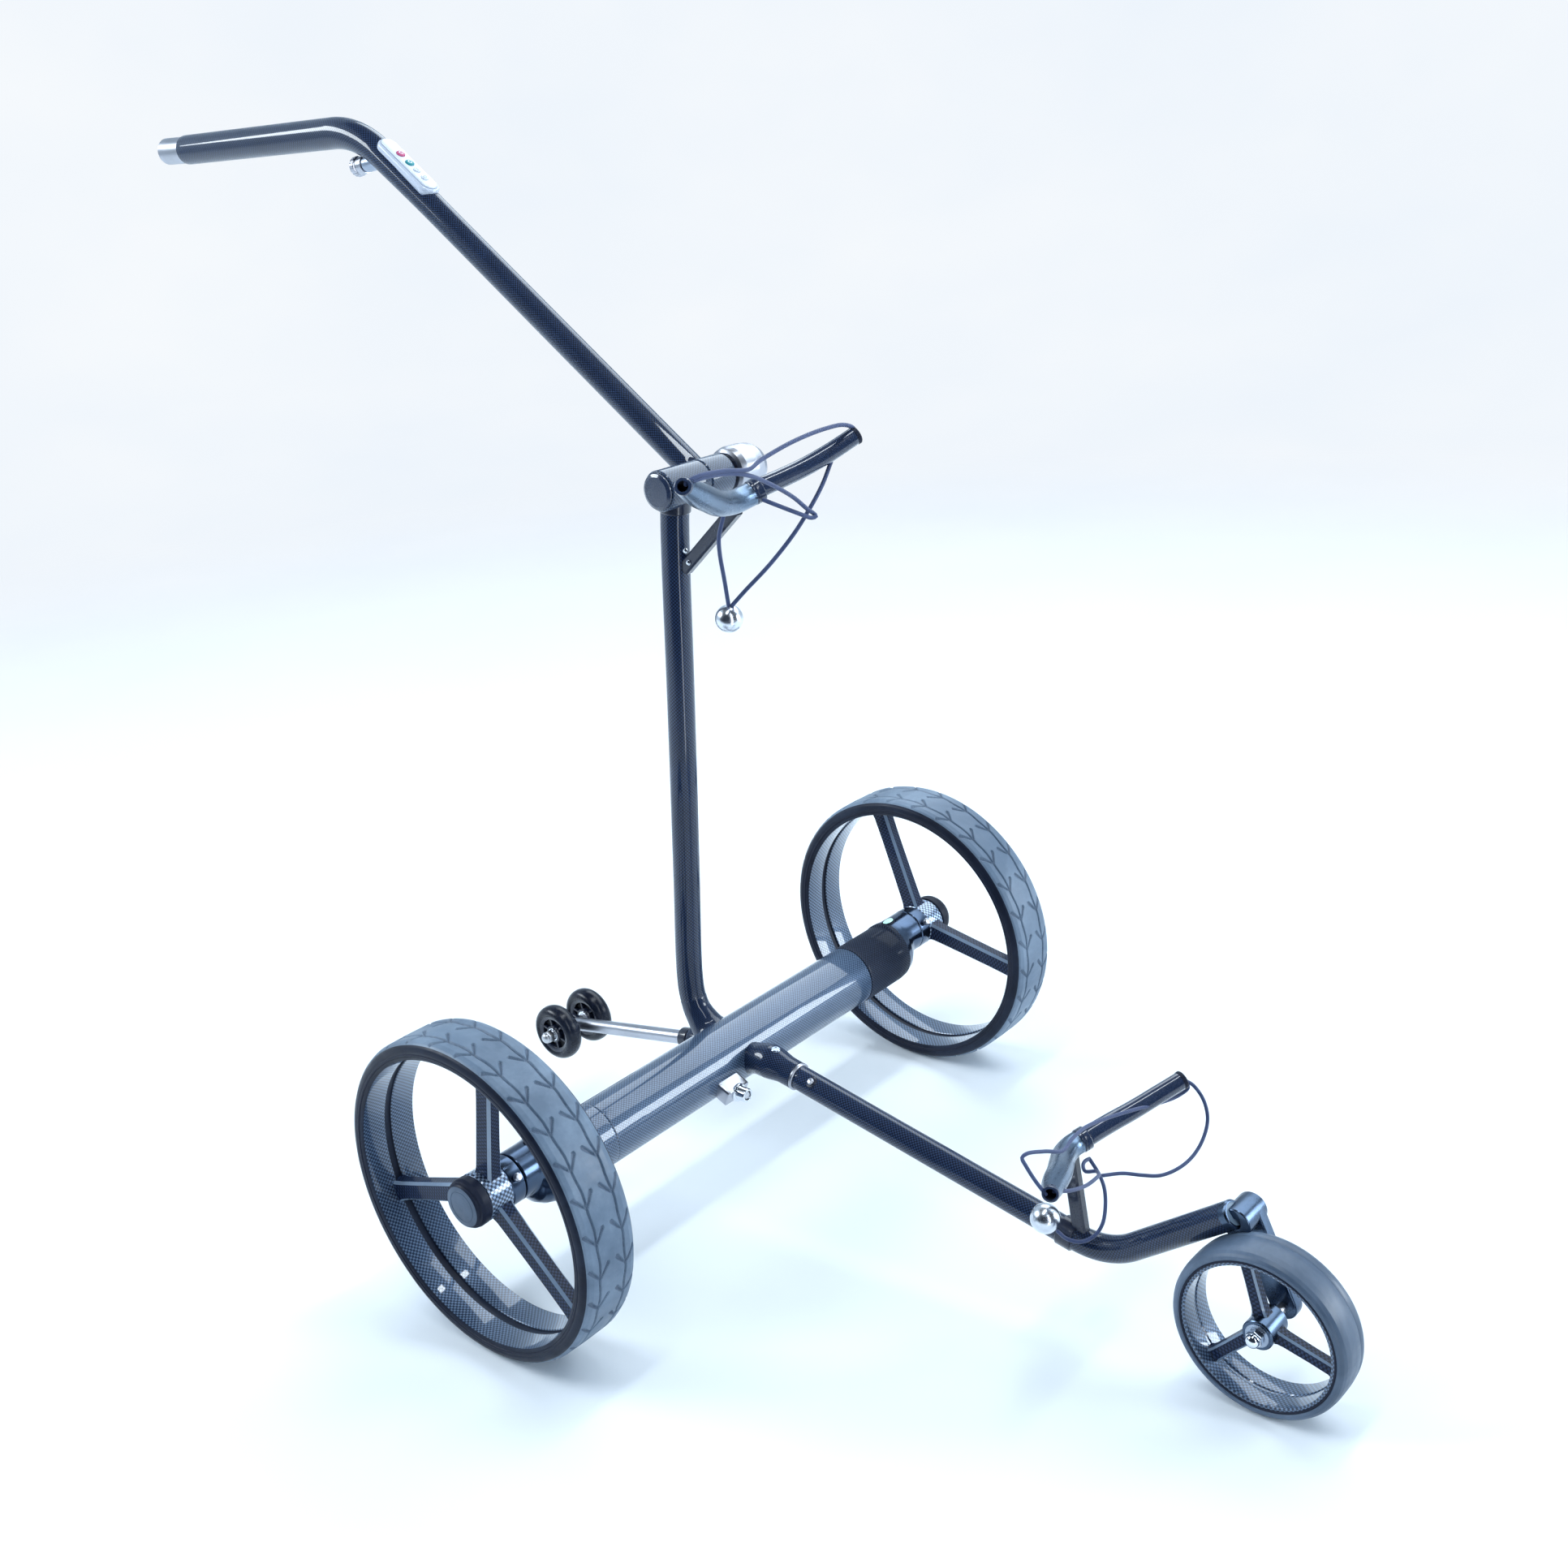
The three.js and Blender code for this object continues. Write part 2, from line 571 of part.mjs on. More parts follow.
addPlaced(handleBody, 'control_panel', cut(
  join(podSlab(5, 17.4, 0), podSlab(16, 18.6, 1.4)),
  handleShape(GAP),
  ...BUTTONS.map((button) => rod(buttonPoint(button, 14.9), buttonPoint(button, 24), 4.4, 10)),
), FINISH.silver);
for (const button of BUTTONS) {
  addPlaced(bodyAt(HINGE), button.name, turned(
    [[0, 0], [4, 0], [4, 3], [3.2, 3.6], [0, 3.6]],
    buttonPoint(button, 16.4), buttonPoint(button, 30), 10,
  ), buttonFinish(button.color));
}

addPlaced(bodyAt(HINGE), 'thumb_knob', join(
  turned([
    [0, 0], [7.2, 0], [8.2, 1], [8.2, 9], [7.6, 9.5], [7.6, 10.4], [9, 11.2], [9, 15.2],
    [7.8, 16.4], [0, 16.8],
  ], knobAxis(399.5), knobAxis(440), 14),
  rod(knobAxis(389), knobAxis(401), 2.1, 10),
), FINISH.silver);
addPlaced(bodyAt(GRIP_END), 'speed_dial', turned([
  [0, 0], [10.6, 0], [10.6, 12.3], [12.4, 12.3], [13, 13], [13, 49], [12, 51], [0, 51],
], pointAlong(GRIP_END, [0, 1, 0], -12), GRIP_END, 16), FINISH.silver);
addPlaced(bodyAt(HINGE), 'clamp_knob', cut(latheX([
  [0, 62.2], [17, 62.2], [20, 64], [21.3, 69], [21.3, 84], [20, 93], [16.5, 99.5],
  [10, 103.2], [0, 104],
], 20, HINGE_AXIS), cylinderX(6.2, 60, 70.5, HINGE_AXIS, 12)), FINISH.silver);

// ---------- front lug on the beam and lock block ----------
// centre of the front tube's straight part at a given y
const onFront = (y) => [0, y, 106.7 + 0.2 * (y + 207)];
const LUG_KNEE = [0, -50, 138.1];
add(root, 'front_lug', cut(
  join(
    rod([0, -22, 133], LUG_KNEE, 15, 12, 14),
    ball(LUG_KNEE, 16, 14),
    rod(onFront(-50), onFront(-80), 13, 14),
  ),
  beamClearance(-40, 40),
  rod(onFront(-56), onFront(-90), 9.4),
), FINISH.carbon);

const LOCK_X = -35;
const onLock = (y) => [LOCK_X, y, 118];
function lockBlock() {
  const outward = unit(0, -0.9, -0.435);
  const centre = pointAlong([LOCK_X, ...BEAM_AXIS], outward, 34.5);
  const saddle = box(centre, [28, 17, 16], Math.atan2(outward[2], outward[1]));
  const barrel = turned([
    [0, 0], [6.5, 0], [6.5, 6], [8.5, 6], [8.5, 9.5], [6.5, 9.5], [6.5, 18], [5.6, 19], [0, 19],
  ], onLock(-34), onLock(-60));
  return cut(
    join(cut(saddle, beamClearance(-60, 0)), barrel),
    rod(onLock(-43), onLock(-60), 4.3, 10),
  );
}
add(root, 'lock_block', lockBlock(), FINISH.chrome);
add(bodyAt([0, 0, 0]), 'lock_plunger', turned(
  [[0, 0], [3.9, 0], [3.9, 8], [3.1, 9], [0, 9]], onLock(-43.4), onLock(-60), 10,
), FINISH.dark);

// ---------- front tube ----------
const FRONT_PIVOT = onFront(-80);
const frontBody = bodyAt(FRONT_PIVOT);
const FRONT_CORNER = [-406.4, 66.8];   // [y, z] where the two straights would meet
const FRONT_TIP = [-513, 145];
const frontLine = bentLine(0, onFront(-83.5).slice(1), FRONT_CORNER, FRONT_TIP, 68, 9);
const frontShape = (extra) => bentTube(frontLine, () => FRONT_R + extra, 12);

const SNAP_DIRECTION = unit(-0.62, 0.02, 0.78);
const onSnap = (distance) => pointAlong(onFront(-104), SNAP_DIRECTION, distance);
addPlaced(frontBody, 'front_tube', cut(
  join(
    frontShape(0),
    rod(onFront(-58), onFront(-86), 9),
    rod(onFront(-80.4), onFront(-83.6), 13.2, 14),
  ),
  rod(onSnap(6), onSnap(16), 3.6, 10),
), FINISH.carbon);
addPlaced(bodyAt(FRONT_PIVOT), 'snap_button', turned(
  [[0, 0], [3.2, 0], [3.2, 4.6], [2.2, 5.8], [0, 6.2]], onSnap(7.6), onSnap(20), 10,
), FINISH.chrome);

const TIP_DIRECTION = unit(0, FRONT_TIP[0] - FRONT_CORNER[0], FRONT_TIP[1] - FRONT_CORNER[1]);
const beyondTip = (distance) => pointAlong([0, ...FRONT_TIP], TIP_DIRECTION, distance);
addPlaced(frontBody, 'front_tube_cap', turned(
  [[0, 0], [10.7, 0], [11, 0.6], [11, 3], [9.4, 5], [5, 6.4], [0, 6.8]],
  beyondTip(0.35), beyondTip(20), 14,
), FINISH.dark);

// lower post and cradle
const LOWER_RIGHT_ARM = [
  [-98.9, -418, 184], [-56, -398, 171.5], [-22, -380, 161], [0, -375, 159], [7, -376.6, 159.7],
];
addPlaced(frontBody, 'lower_post', cut(
  join(
    box([0, -377, 115], [9, 13, 72], Math.atan2(9, 70)),
    rod(onFront(-363), onFront(-377), 13, 14),
  ),
  frontShape(GAP),
  armTube(LOWER_RIGHT_ARM, 9.3 + GAP),
  box([0, -380, 186], [60, 60, 60]),
), FINISH.carbon);

const lowerCradle = cradleArms({
  rightLine: LOWER_RIGHT_ARM,
  leftLine: [[16, -381, 162.6], [56, -398, 171.5], [98.9, -418, 184]],
  armR: 9.3,
  ring: {
    from: [7.6, -377, 160], towards: [16, -381, 162.6],
    radius: 10, length: 7, clearLength: 7.5,
  },
  tipBore: { from: [-114, -426, 188.6], to: [-88, -413, 180.9], radius: 5.6 },
});
addPlaced(frontBody, 'lower_cradle', lowerCradle.right, FINISH.carbon);
addPlaced(frontBody, 'lower_cradle_arm', lowerCradle.left, FINISH.carbon);
addPlaced(frontBody, 'lower_cord', cordTube([
  [-84, -404, 207], [-58, -403.1, 196], [-36, -398.6, 193.2], [-12, -395.6, 189.8],
  [18, -397.8, 185], [46, -407.5, 192.2], [80, -414, 198.8],
], 15), FINISH.cord);
addPlaced(frontBody, 'lower_cord_ball', join(
  ball([-30, -366.7, 104.1], 12.5),
  cordTube([[-33, -374, 112], [-42, -390, 118], [-44, -402, 108], [-36, -408, 102]], 8),
), FINISH.chrome);

// ---------- one-sided fork and front wheel ----------
// plate along X whose outline wraps two circles, each { y, z, radius }
function linkPlate(top, bottom, x0, x1) {
  const [dy, dz] = [bottom.y - top.y, bottom.z - top.z];
  const heading = Math.atan2(dz, dy);
  const wrap = Math.acos((top.radius - bottom.radius) / Math.hypot(dy, dz));
  const [left, right] = [heading + wrap, heading - wrap];
  const outline = new THREE.Shape();
  outline.absarc(top.y, top.z, top.radius, left, right + 2 * Math.PI, false);
  outline.absarc(bottom.y, bottom.z, bottom.radius, right, left, false);
  outline.closePath();
  // shape x -> Y, shape y -> Z, depth -> X
  const frame = new THREE.Matrix4()
    .makeBasis(vector([0, 1, 0]), vector([0, 0, 1]), vector([1, 0, 0]));
  const options = { depth: x1 - x0, bevelEnabled: false, curveSegments: 12 };
  return toSolid(new THREE.ExtrudeGeometry(outline, options)
    .applyMatrix4(frame).translate(x0, 0, 0));
}
const [axleY, axleZ] = FRONT_AXIS;
addPlaced(frontBody, 'fork_arm', cut(
  join(
    linkPlate(
      { y: -520.5, z: 142.5, radius: 13.2 }, { y: axleY, z: axleZ, radius: 12 }, 11.4, 22.4,
    ),
    cylinderX(12.8, -4.2, 25, FRONT_AXIS, 14),
  ),
  cylinderX(FRONT_BOLT_BORE_R, -10, 40, FRONT_AXIS),
), FINISH.carbon);
addPlaced(frontBody, 'front_axle_bolt', join(
  cylinderX(4, -36, 30, FRONT_AXIS),
  domedNut(-31.8, -38.4, 7.2, 5.8, FRONT_AXIS),
  domedNut(25.4, 31, 7.2, 5.8, FRONT_AXIS),
), FINISH.chrome);

function frontWheel() {
  const hub = latheX([[0, -15], [11, -15], [12.5, -13.5], [12.5, 9.6], [11, 11], [0, 11]], 14);
  const hoop = wheelRound(closed([
    [59.6, -16.6], [61, -17.6], [62.8, -17.2], [62.8, 17.2], [61, 17.6], [59.6, 16.6],
    [59.6, 2], [60.6, 1.2], [60.6, -1.2], [59.6, -2],
  ]), FRONT_WHEEL_FACETS);
  const arms = spokes({ x: -2, thickness: 10, width: 11, inner: 9, outer: 61, firstDeg: 74 });
  return cut(join(hub, hoop, ...arms), cylinderX(FRONT_BOLT_BORE_R, -20, 20));
}

function frontTyre() {
  const tread = cornerRadius(FRONT_WHEEL_R, FRONT_WHEEL_FACETS);
  return wheelRound(closed([
    [63.3, -17.6], [64.6, -18.8], [66.6, -19.1], [69, -18], [tread - 1, -14], [tread, -9],
    [tread, 9], [tread - 1, 14], [69, 18], [66.6, 19.1], [64.6, 18.8], [63.3, 17.6],
  ]), FRONT_WHEEL_FACETS);
}
const frontWheelBody = bodyAt([FRONT_WHEEL_X, ...FRONT_AXIS]);
add(frontWheelBody, 'front_wheel', frontWheel(), FINISH.dark);
add(frontWheelBody, 'front_tyre', frontTyre(), FINISH.rubber);

// ---------- anti-tip rod and its two wheels ----------
addPlaced(bodyAt(ANTITIP), 'antitip_rod', join(
  rod(onRod(35), onRod(ANTITIP_AXIS[0]), 6.75),
  ball(ANTITIP, 9, 10),
  cylinderX(4, -40, 40, ANTITIP_AXIS),
  ...[1, -1].map((side) => domedNut(side * 31.4, side * 37.6, 6.6, 5.4, ANTITIP_AXIS)),
), FINISH.chrome);

const ANTITIP_WHEEL = closed([
  [4.4, -9.5], [8.5, -9.5], [8.5, -7], [20, -6.6], [22, -9], [26.6, -9.5], [ANTITIP_R, -7.4],
  [ANTITIP_R, 7.4], [26.6, 9.5], [22, 9], [20, 6.6], [8.5, 7], [8.5, 9.5], [4.4, 9.5],
]);
for (const [side, x] of [['left', 21.4], ['right', -21.4]]) {
  const wheel = toSolid(lathe(ANTITIP_WHEEL, 20).translate(x, 0, 0));
  add(bodyAt(ANTITIP), `antitip_${side}_wheel`, wheel, FINISH.black);
}

export default root;
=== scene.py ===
# A motor-driven wheeled frame. Left is +X, front is -Y, up is +Z and the floor is z = 0.
# Two large wheels stand at the ends of a beam along X. A strut rises from the beam to a hinge
# that carries a handle running toward +Y. A tube with a small wheel reaches toward -Y, and a rod
# with two small anti-tip wheels toward +Y. Two cradles with cords sit on the -Y side.
# The product is in millimetres; the stage, lights and camera are in metres.
import bpy
from math import acos, atan2, copysign, cos, pi, radians, sin, tan
import numpy as np
from mathutils import Matrix, Vector

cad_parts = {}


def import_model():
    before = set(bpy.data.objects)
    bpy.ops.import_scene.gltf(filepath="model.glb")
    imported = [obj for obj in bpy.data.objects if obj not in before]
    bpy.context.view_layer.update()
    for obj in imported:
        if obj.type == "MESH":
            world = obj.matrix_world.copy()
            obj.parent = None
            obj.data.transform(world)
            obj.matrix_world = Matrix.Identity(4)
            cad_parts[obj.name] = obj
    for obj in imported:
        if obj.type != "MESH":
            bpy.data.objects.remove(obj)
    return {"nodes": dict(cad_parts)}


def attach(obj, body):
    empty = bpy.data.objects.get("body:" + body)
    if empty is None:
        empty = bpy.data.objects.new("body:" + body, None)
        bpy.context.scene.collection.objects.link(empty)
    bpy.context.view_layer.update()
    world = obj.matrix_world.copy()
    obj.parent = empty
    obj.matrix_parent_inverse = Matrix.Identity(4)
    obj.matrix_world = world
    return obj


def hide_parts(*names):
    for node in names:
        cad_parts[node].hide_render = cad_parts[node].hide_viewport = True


cad_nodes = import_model()["nodes"]
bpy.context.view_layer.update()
MM = 0.001
X_AXIS = np.array([1.0, 0, 0])

# =====================================================================
# materials
# =====================================================================
MATERIALS = {}


class Shader:
    """A new material, with short calls for the nodes used here."""
    def __init__(self, name):
        material = bpy.data.materials.new(name)
        material.use_nodes = True
        MATERIALS[name] = material
        self.tree = material.node_tree

    def node(self, kind, **settings):
        node = self.tree.nodes.new(kind)
        for key, value in settings.items():
            setattr(node, key, value)
        return node

    def feed(self, value, socket):
        """Link a socket, or set a number or an RGB colour."""
        if isinstance(value, bpy.types.NodeSocket):
            self.tree.links.new(value, socket)
        else:
            socket.default_value = (*value, 1) if isinstance(value, tuple) else value

    def surface(self, inputs):
        for key, value in inputs.items():
            self.feed(value, self.tree.nodes["Principled BSDF"].inputs[key])

    def calc(self, operation, *values, clamp=False):
        node = self.node("ShaderNodeMath", operation=operation, use_clamp=clamp)
        for value, socket in zip(values, node.inputs):
            self.feed(value, socket)
        return node.outputs[0]

    def mix(self, share, first, second):
        node = self.node("ShaderNodeMix", data_type="RGBA")
        for value, socket in zip((share, first, second), (0, 6, 7)):
            self.feed(value, node.inputs[socket])
        return node.outputs[2]

    def blend(self, share, first, second):
        """Mix two shaders."""
        node = self.node("ShaderNodeMixShader")
        for value, socket in zip((share, first, second), node.inputs):
            self.feed(value, socket)
        return node.outputs[0]

    def noise(self, scale, detail=3, rough=0.5, distortion=0.0):
        place = self.node("ShaderNodeTexCoord")
        node = self.node("ShaderNodeTexNoise")
        node.inputs["Scale"].default_value = scale
        node.inputs["Detail"].default_value = detail
        node.inputs["Roughness"].default_value = rough
        node.inputs["Distortion"].default_value = distortion
        self.feed(place.outputs["Object"], node.inputs["Vector"])
        return node.outputs["Fac"]

    def remap(self, value, source, target=(0, 1)):
        """Carry the range source over to the range target."""
        node = self.node("ShaderNodeMapRange")
        for number, socket in zip((value, *source, *target), node.inputs):
            self.feed(number, socket)
        return node.outputs[0]

    def bump(self, height, strength, distance, base=None):
        node = self.node("ShaderNodeBump")
        node.inputs["Strength"].default_value = strength
        node.inputs["Distance"].default_value = distance
        self.feed(height, node.inputs["Height"])
        if base is not None:
            self.feed(base, node.inputs["Normal"])
        return node.outputs[0]

    def split(self, vector):
        node = self.node("ShaderNodeSeparateXYZ")
        self.feed(vector, node.inputs[0])
        return node.outputs[0], node.outputs[1]

    def uv_axes(self):
        return self.split(self.node("ShaderNodeUVMap", uv_map="UVMap").outputs[0])


def carbon(name, pitch, low, high, rough, metallic=0.0, coat=1.0, specular=0.5):
    """Clear-coated plain weave; pitch is the tow width and the UV map is in millimetres."""
    m = Shader(name)
    u, v = (m.calc("DIVIDE", axis, pitch) for axis in m.uv_axes())
    cell = m.calc("ADD", m.calc("FLOOR", u), m.calc("FLOOR", v))
    warp = m.calc("LESS_THAN", m.calc("FLOORED_MODULO", cell, 2.0), 0.5)
    # Rounded profile across whichever tow lies on top.
    across_u, across_v = (m.calc("SINE", m.calc("MULTIPLY", m.calc("FRACT", axis), pi))
                          for axis in (u, v))
    top = m.node("ShaderNodeMix", data_type="FLOAT")
    for value, socket in zip((warp, across_v, across_u), (0, 2, 3)):
        m.feed(value, top.inputs[socket])
    profile = top.outputs[0]
    # Tone: warp against weft, darker tow edges, fine speckle, slow drift.
    warp_gain, weft_tone = 0.78, 0.08
    edge_gain, edge_floor = 0.65, 0.35
    speckle_gain = 0.25
    tone = m.calc("MULTIPLY_ADD", warp, warp_gain, weft_tone)
    edge = m.calc("POWER", profile, 0.5)
    tone = m.calc("MULTIPLY", tone, m.calc("MULTIPLY_ADD", edge, edge_gain, edge_floor))
    speckle = m.calc("SUBTRACT", m.noise(scale=900, detail=2), 0.5)
    tone = m.calc("ADD", tone, m.calc("MULTIPLY", speckle, speckle_gain))
    drift = m.remap(m.noise(scale=14, rough=0.55), (0.3, 0.7), (0.85, 1.15))
    tone = m.calc("MULTIPLY", tone, drift, clamp=True)
    tangent = m.node("ShaderNodeTangent", direction_type="UV_MAP", uv_map="UVMap")
    warp_roughening, quarter_turn = 0.06, 0.25
    haze = m.noise(scale=60, detail=4, rough=0.6)
    orange_peel = m.noise(scale=120, detail=2)
    m.surface({
        "Base Color": m.mix(tone, low, high),
        "Metallic": metallic,
        "Roughness": m.calc("MULTIPLY_ADD", warp, warp_roughening, rough),
        "Anisotropic": 0.5,
        "Anisotropic Rotation": m.calc("MULTIPLY", warp, quarter_turn),
        "Tangent": tangent.outputs[0],
        "Normal": m.bump(profile, strength=0.35, distance=0.00012),
        "Coat Weight": coat,
        "Coat Roughness": m.remap(haze, (0.35, 0.75), (0.02, 0.07)),
        "Coat IOR": 1.5,
        "Coat Tint": (0.86, 0.93, 1.0),
        "Coat Normal": m.bump(orange_peel, strength=0.05, distance=0.0004),
        "Specular IOR Level": specular})


def metal(name, color, rough, anisotropic=0.0, wear=0.05):
    """Metal with patchy tone; wear is the spread of its roughness."""
    m = Shader(name)
    patches = m.noise(scale=35, detail=4, rough=0.6)
    grain = m.noise(scale=500, rough=0.7)
    darker = tuple(c * 0.86 for c in color)
    m.surface({
        "Base Color": m.mix(m.remap(patches, (0.35, 0.7)), color, darker),
        "Metallic": 1.0,
        "Roughness": m.calc("ADD", m.remap(grain, (0.3, 0.8), (rough, rough + wear)),
                            m.remap(patches, (0.4, 0.7), (0, wear))),
        "Anisotropic": anisotropic,
        "Normal": m.bump(grain, strength=0.012, distance=0.0002)})


def plastic(name, color, rough=0.4, grain=900, bump=0.08, coat=0.0, spread=0.12, specular=0.5):
    """Plastic or paint; grain is the texture scale, spread the variation in tone."""
    m = Shader(name)
    patches = m.noise(scale=18, detail=4, rough=0.6)
    fine = m.noise(scale=grain, detail=2, rough=0.6)
    lighter = tuple(min(1, c * (1 + spread) + 0.004) for c in color)
    darker = tuple(c * (1 - spread) for c in color)
    m.surface({
        "Base Color": m.mix(m.remap(patches, (0.3, 0.7)), darker, lighter),
        "Roughness": m.remap(fine, (0.3, 0.7), (rough - 0.05, rough + 0.07)),
        "Coat Weight": coat,
        "Coat Roughness": 0.05,
        "Specular IOR Level": specular,
        "Normal": m.bump(fine, strength=bump, distance=0.0003)})


def rubber(name, color, dust_and_sheen, rough, specular=0.45):
    m = Shader(name)
    large = m.noise(scale=9, detail=5, rough=0.65, distortion=0.4)
    middle = m.noise(scale=60, detail=4, rough=0.7)
    fine = m.noise(scale=1300, detail=2, rough=0.6)
    # Lighter blotches over the rubber: partly real dust, partly painted sheen, their colour
    # lifted toward the brightness of the lit tread.
    dust_and_sheen_share = m.calc("MULTIPLY", m.remap(large, (0.38, 0.66)),
                   m.remap(middle, (0.3, 0.7), (0.4, 1)))
    rough_spread = m.remap(middle, (0.3, 0.7), (rough - 0.12, rough + 0.1))
    rough_offset = 0.0
    relief = m.bump(middle, strength=0.12, distance=0.0008)
    m.surface({
        "Base Color": m.mix(dust_and_sheen_share, color, dust_and_sheen),
        "Roughness": m.calc("ADD", rough_spread, rough_offset),
        "Specular IOR Level": specular,
        "Normal": m.bump(fine, strength=0.25, distance=0.0003, base=relief)})


def braid(name):
    """Cord cover: two crossing families of strands."""
    m = Shader(name)
    x, y = m.uv_axes()
    per_mm_around, per_mm_along = 0.66, 0.55
    strands = []
    for operation in ("ADD", "SUBTRACT"):
        phase = m.calc(operation, m.calc("MULTIPLY", x, per_mm_around),
                       m.calc("MULTIPLY", y, per_mm_along))
        strands.append(m.calc("ABSOLUTE", m.calc("SINE", m.calc("MULTIPLY", phase, pi))))
    height = m.calc("MULTIPLY", *strands)
    # The colour follows the strand height: the crests carry the cord's navy, and the dips
    # between strands are painted darker as painted shade.
    m.surface({
        "Base Color": m.mix(height, (0.010, 0.020, 0.075), (0.045, 0.085, 0.23)),
        "Roughness": 0.62,
        "Sheen Weight": 0.25,
        "Normal": m.bump(height, strength=0.6, distance=0.0003)})


def lamp_lens():
    m = Shader("lamp_lens")
    cloud = m.remap(m.noise(scale=300, detail=2), (0.3, 0.7))
    m.surface({
        "Base Color": m.mix(cloud, (0.42, 0.86, 0.74), (0.62, 0.95, 0.86)),
        "Roughness": 0.25,
        "Emission Color": (0.5, 1.0, 0.85),
        "Emission Strength": 0.35,
        "Coat Weight": 0.8})


carbon("carbon_weave", pitch=1.6, low=(0.0005, 0.0015, 0.008), high=(0.026, 0.050, 0.115),
       rough=0.42, coat=0.8, specular=0.12)
carbon("carbon_axle", pitch=1.6, low=(0.010, 0.022, 0.052), high=(0.135, 0.20, 0.30),
       rough=0.4, metallic=0.4)
carbon("carbon_sleeve", pitch=1.5, low=(0.001, 0.002, 0.008), high=(0.034, 0.052, 0.10),
       rough=0.6, coat=0.1, specular=0.25)
carbon("carbon_rim", pitch=2.0, low=(0.002, 0.006, 0.020), high=(0.15, 0.222, 0.34),
       rough=0.34, metallic=0.4)
carbon("carbon_hub", pitch=2.3, low=(0.004, 0.008, 0.024), high=(0.42, 0.52, 0.68),
       rough=0.28, metallic=0.7)
carbon("carbon_spoke", pitch=1.8, low=(0.001, 0.003, 0.012), high=(0.028, 0.048, 0.11),
       rough=0.45, coat=0.22, specular=0.1)
carbon("carbon_lit", pitch=1.6, low=(0.006, 0.012, 0.030), high=(0.060, 0.097, 0.17),
       rough=0.45, coat=0.8, specular=0.25)
metal("arm_paint", (0.145, 0.205, 0.29), rough=0.24)
metal("fork_paint", (0.08, 0.115, 0.175), rough=0.22, wear=0.06)
metal("neck_coat", (0.075, 0.108, 0.17), rough=0.15)
metal("chrome", (0.80, 0.84, 0.90), rough=0.11, wear=0.04)
metal("silver", (0.48, 0.495, 0.55), rough=0.28, anisotropic=0.3)
metal("silver_dark", (0.36, 0.42, 0.52), rough=0.25)
metal("steel", (0.62, 0.64, 0.68), rough=0.3, wear=0.1)
metal("ball_chrome", (0.74, 0.78, 0.85), rough=0.22)
plastic("arm_dark", (0.014, 0.026, 0.062), rough=0.25, coat=1.0, bump=0.02, specular=0.3)
# Lighter paint for the spoke chamfers: a painted highlight standing in for their reflection.
plastic("spoke_edge_highlight", (0.20, 0.27, 0.37), rough=0.22, coat=0.8)
plastic("dark_satin", (0.008, 0.013, 0.032), rough=0.3, grain=700, coat=0.6, specular=0.25)
plastic("dark_cap", (0.010, 0.014, 0.030), rough=0.42, grain=500, bump=0.12, specular=0.14)
plastic("cap_face", (0.065, 0.095, 0.145), rough=0.45, grain=260, bump=0.3, spread=0.3,
        specular=0.25)
plastic("speckle_cap", (0.22, 0.31, 0.42), rough=0.5, grain=420, bump=0.6, spread=0.6)
plastic("pod_shell", (0.50, 0.55, 0.65), rough=0.26, coat=0.5, spread=0.04, bump=0.015)
plastic("pod_face", (0.62, 0.67, 0.77), rough=0.36, coat=0.3, spread=0.03, bump=0.015)
plastic("pod_rim", (0.30, 0.35, 0.44), rough=0.3, spread=0.05, bump=0.015)
plastic("gloss_black", (0.006, 0.007, 0.014), rough=0.22, coat=1.0, bump=0.02)
plastic("button_red", (0.50, 0.07, 0.19))
plastic("button_green", (0.01, 0.24, 0.28))
plastic("button_grey", (0.60, 0.65, 0.74))
plastic("glyph", (0.80, 0.84, 0.90))
plastic("battery_wrap", (0.05, 0.16, 0.48), rough=0.35)
plastic("board", (0.02, 0.16, 0.07), rough=0.5, grain=200, bump=0.4, spread=0.3)
# Near-black; on the sleeve seam it is a dark joint, inside the cradle bores it is painted shade.
plastic("hole_dark", (0.004, 0.005, 0.012), rough=0.6)
rubber("tyre_tread", (0.085, 0.13, 0.195), dust_and_sheen=(0.22, 0.295, 0.39), rough=0.46)
# Slightly darker rubber for the tread grooves: painted shade in the grooves.
rubber("tyre_groove_shade", (0.058, 0.09, 0.145), dust_and_sheen=(0.15, 0.205, 0.285), rough=0.5)
rubber("tyre_side", (0.005, 0.008, 0.020), dust_and_sheen=(0.020, 0.03, 0.056), rough=0.4, specular=0.16)
rubber("tyre_small", (0.05, 0.08, 0.13), dust_and_sheen=(0.13, 0.18, 0.26), rough=0.42)
rubber("tyre_black", (0.004, 0.006, 0.014), dust_and_sheen=(0.012, 0.017, 0.032), rough=0.26,
       specular=0.3)
braid("cord")
lamp_lens()


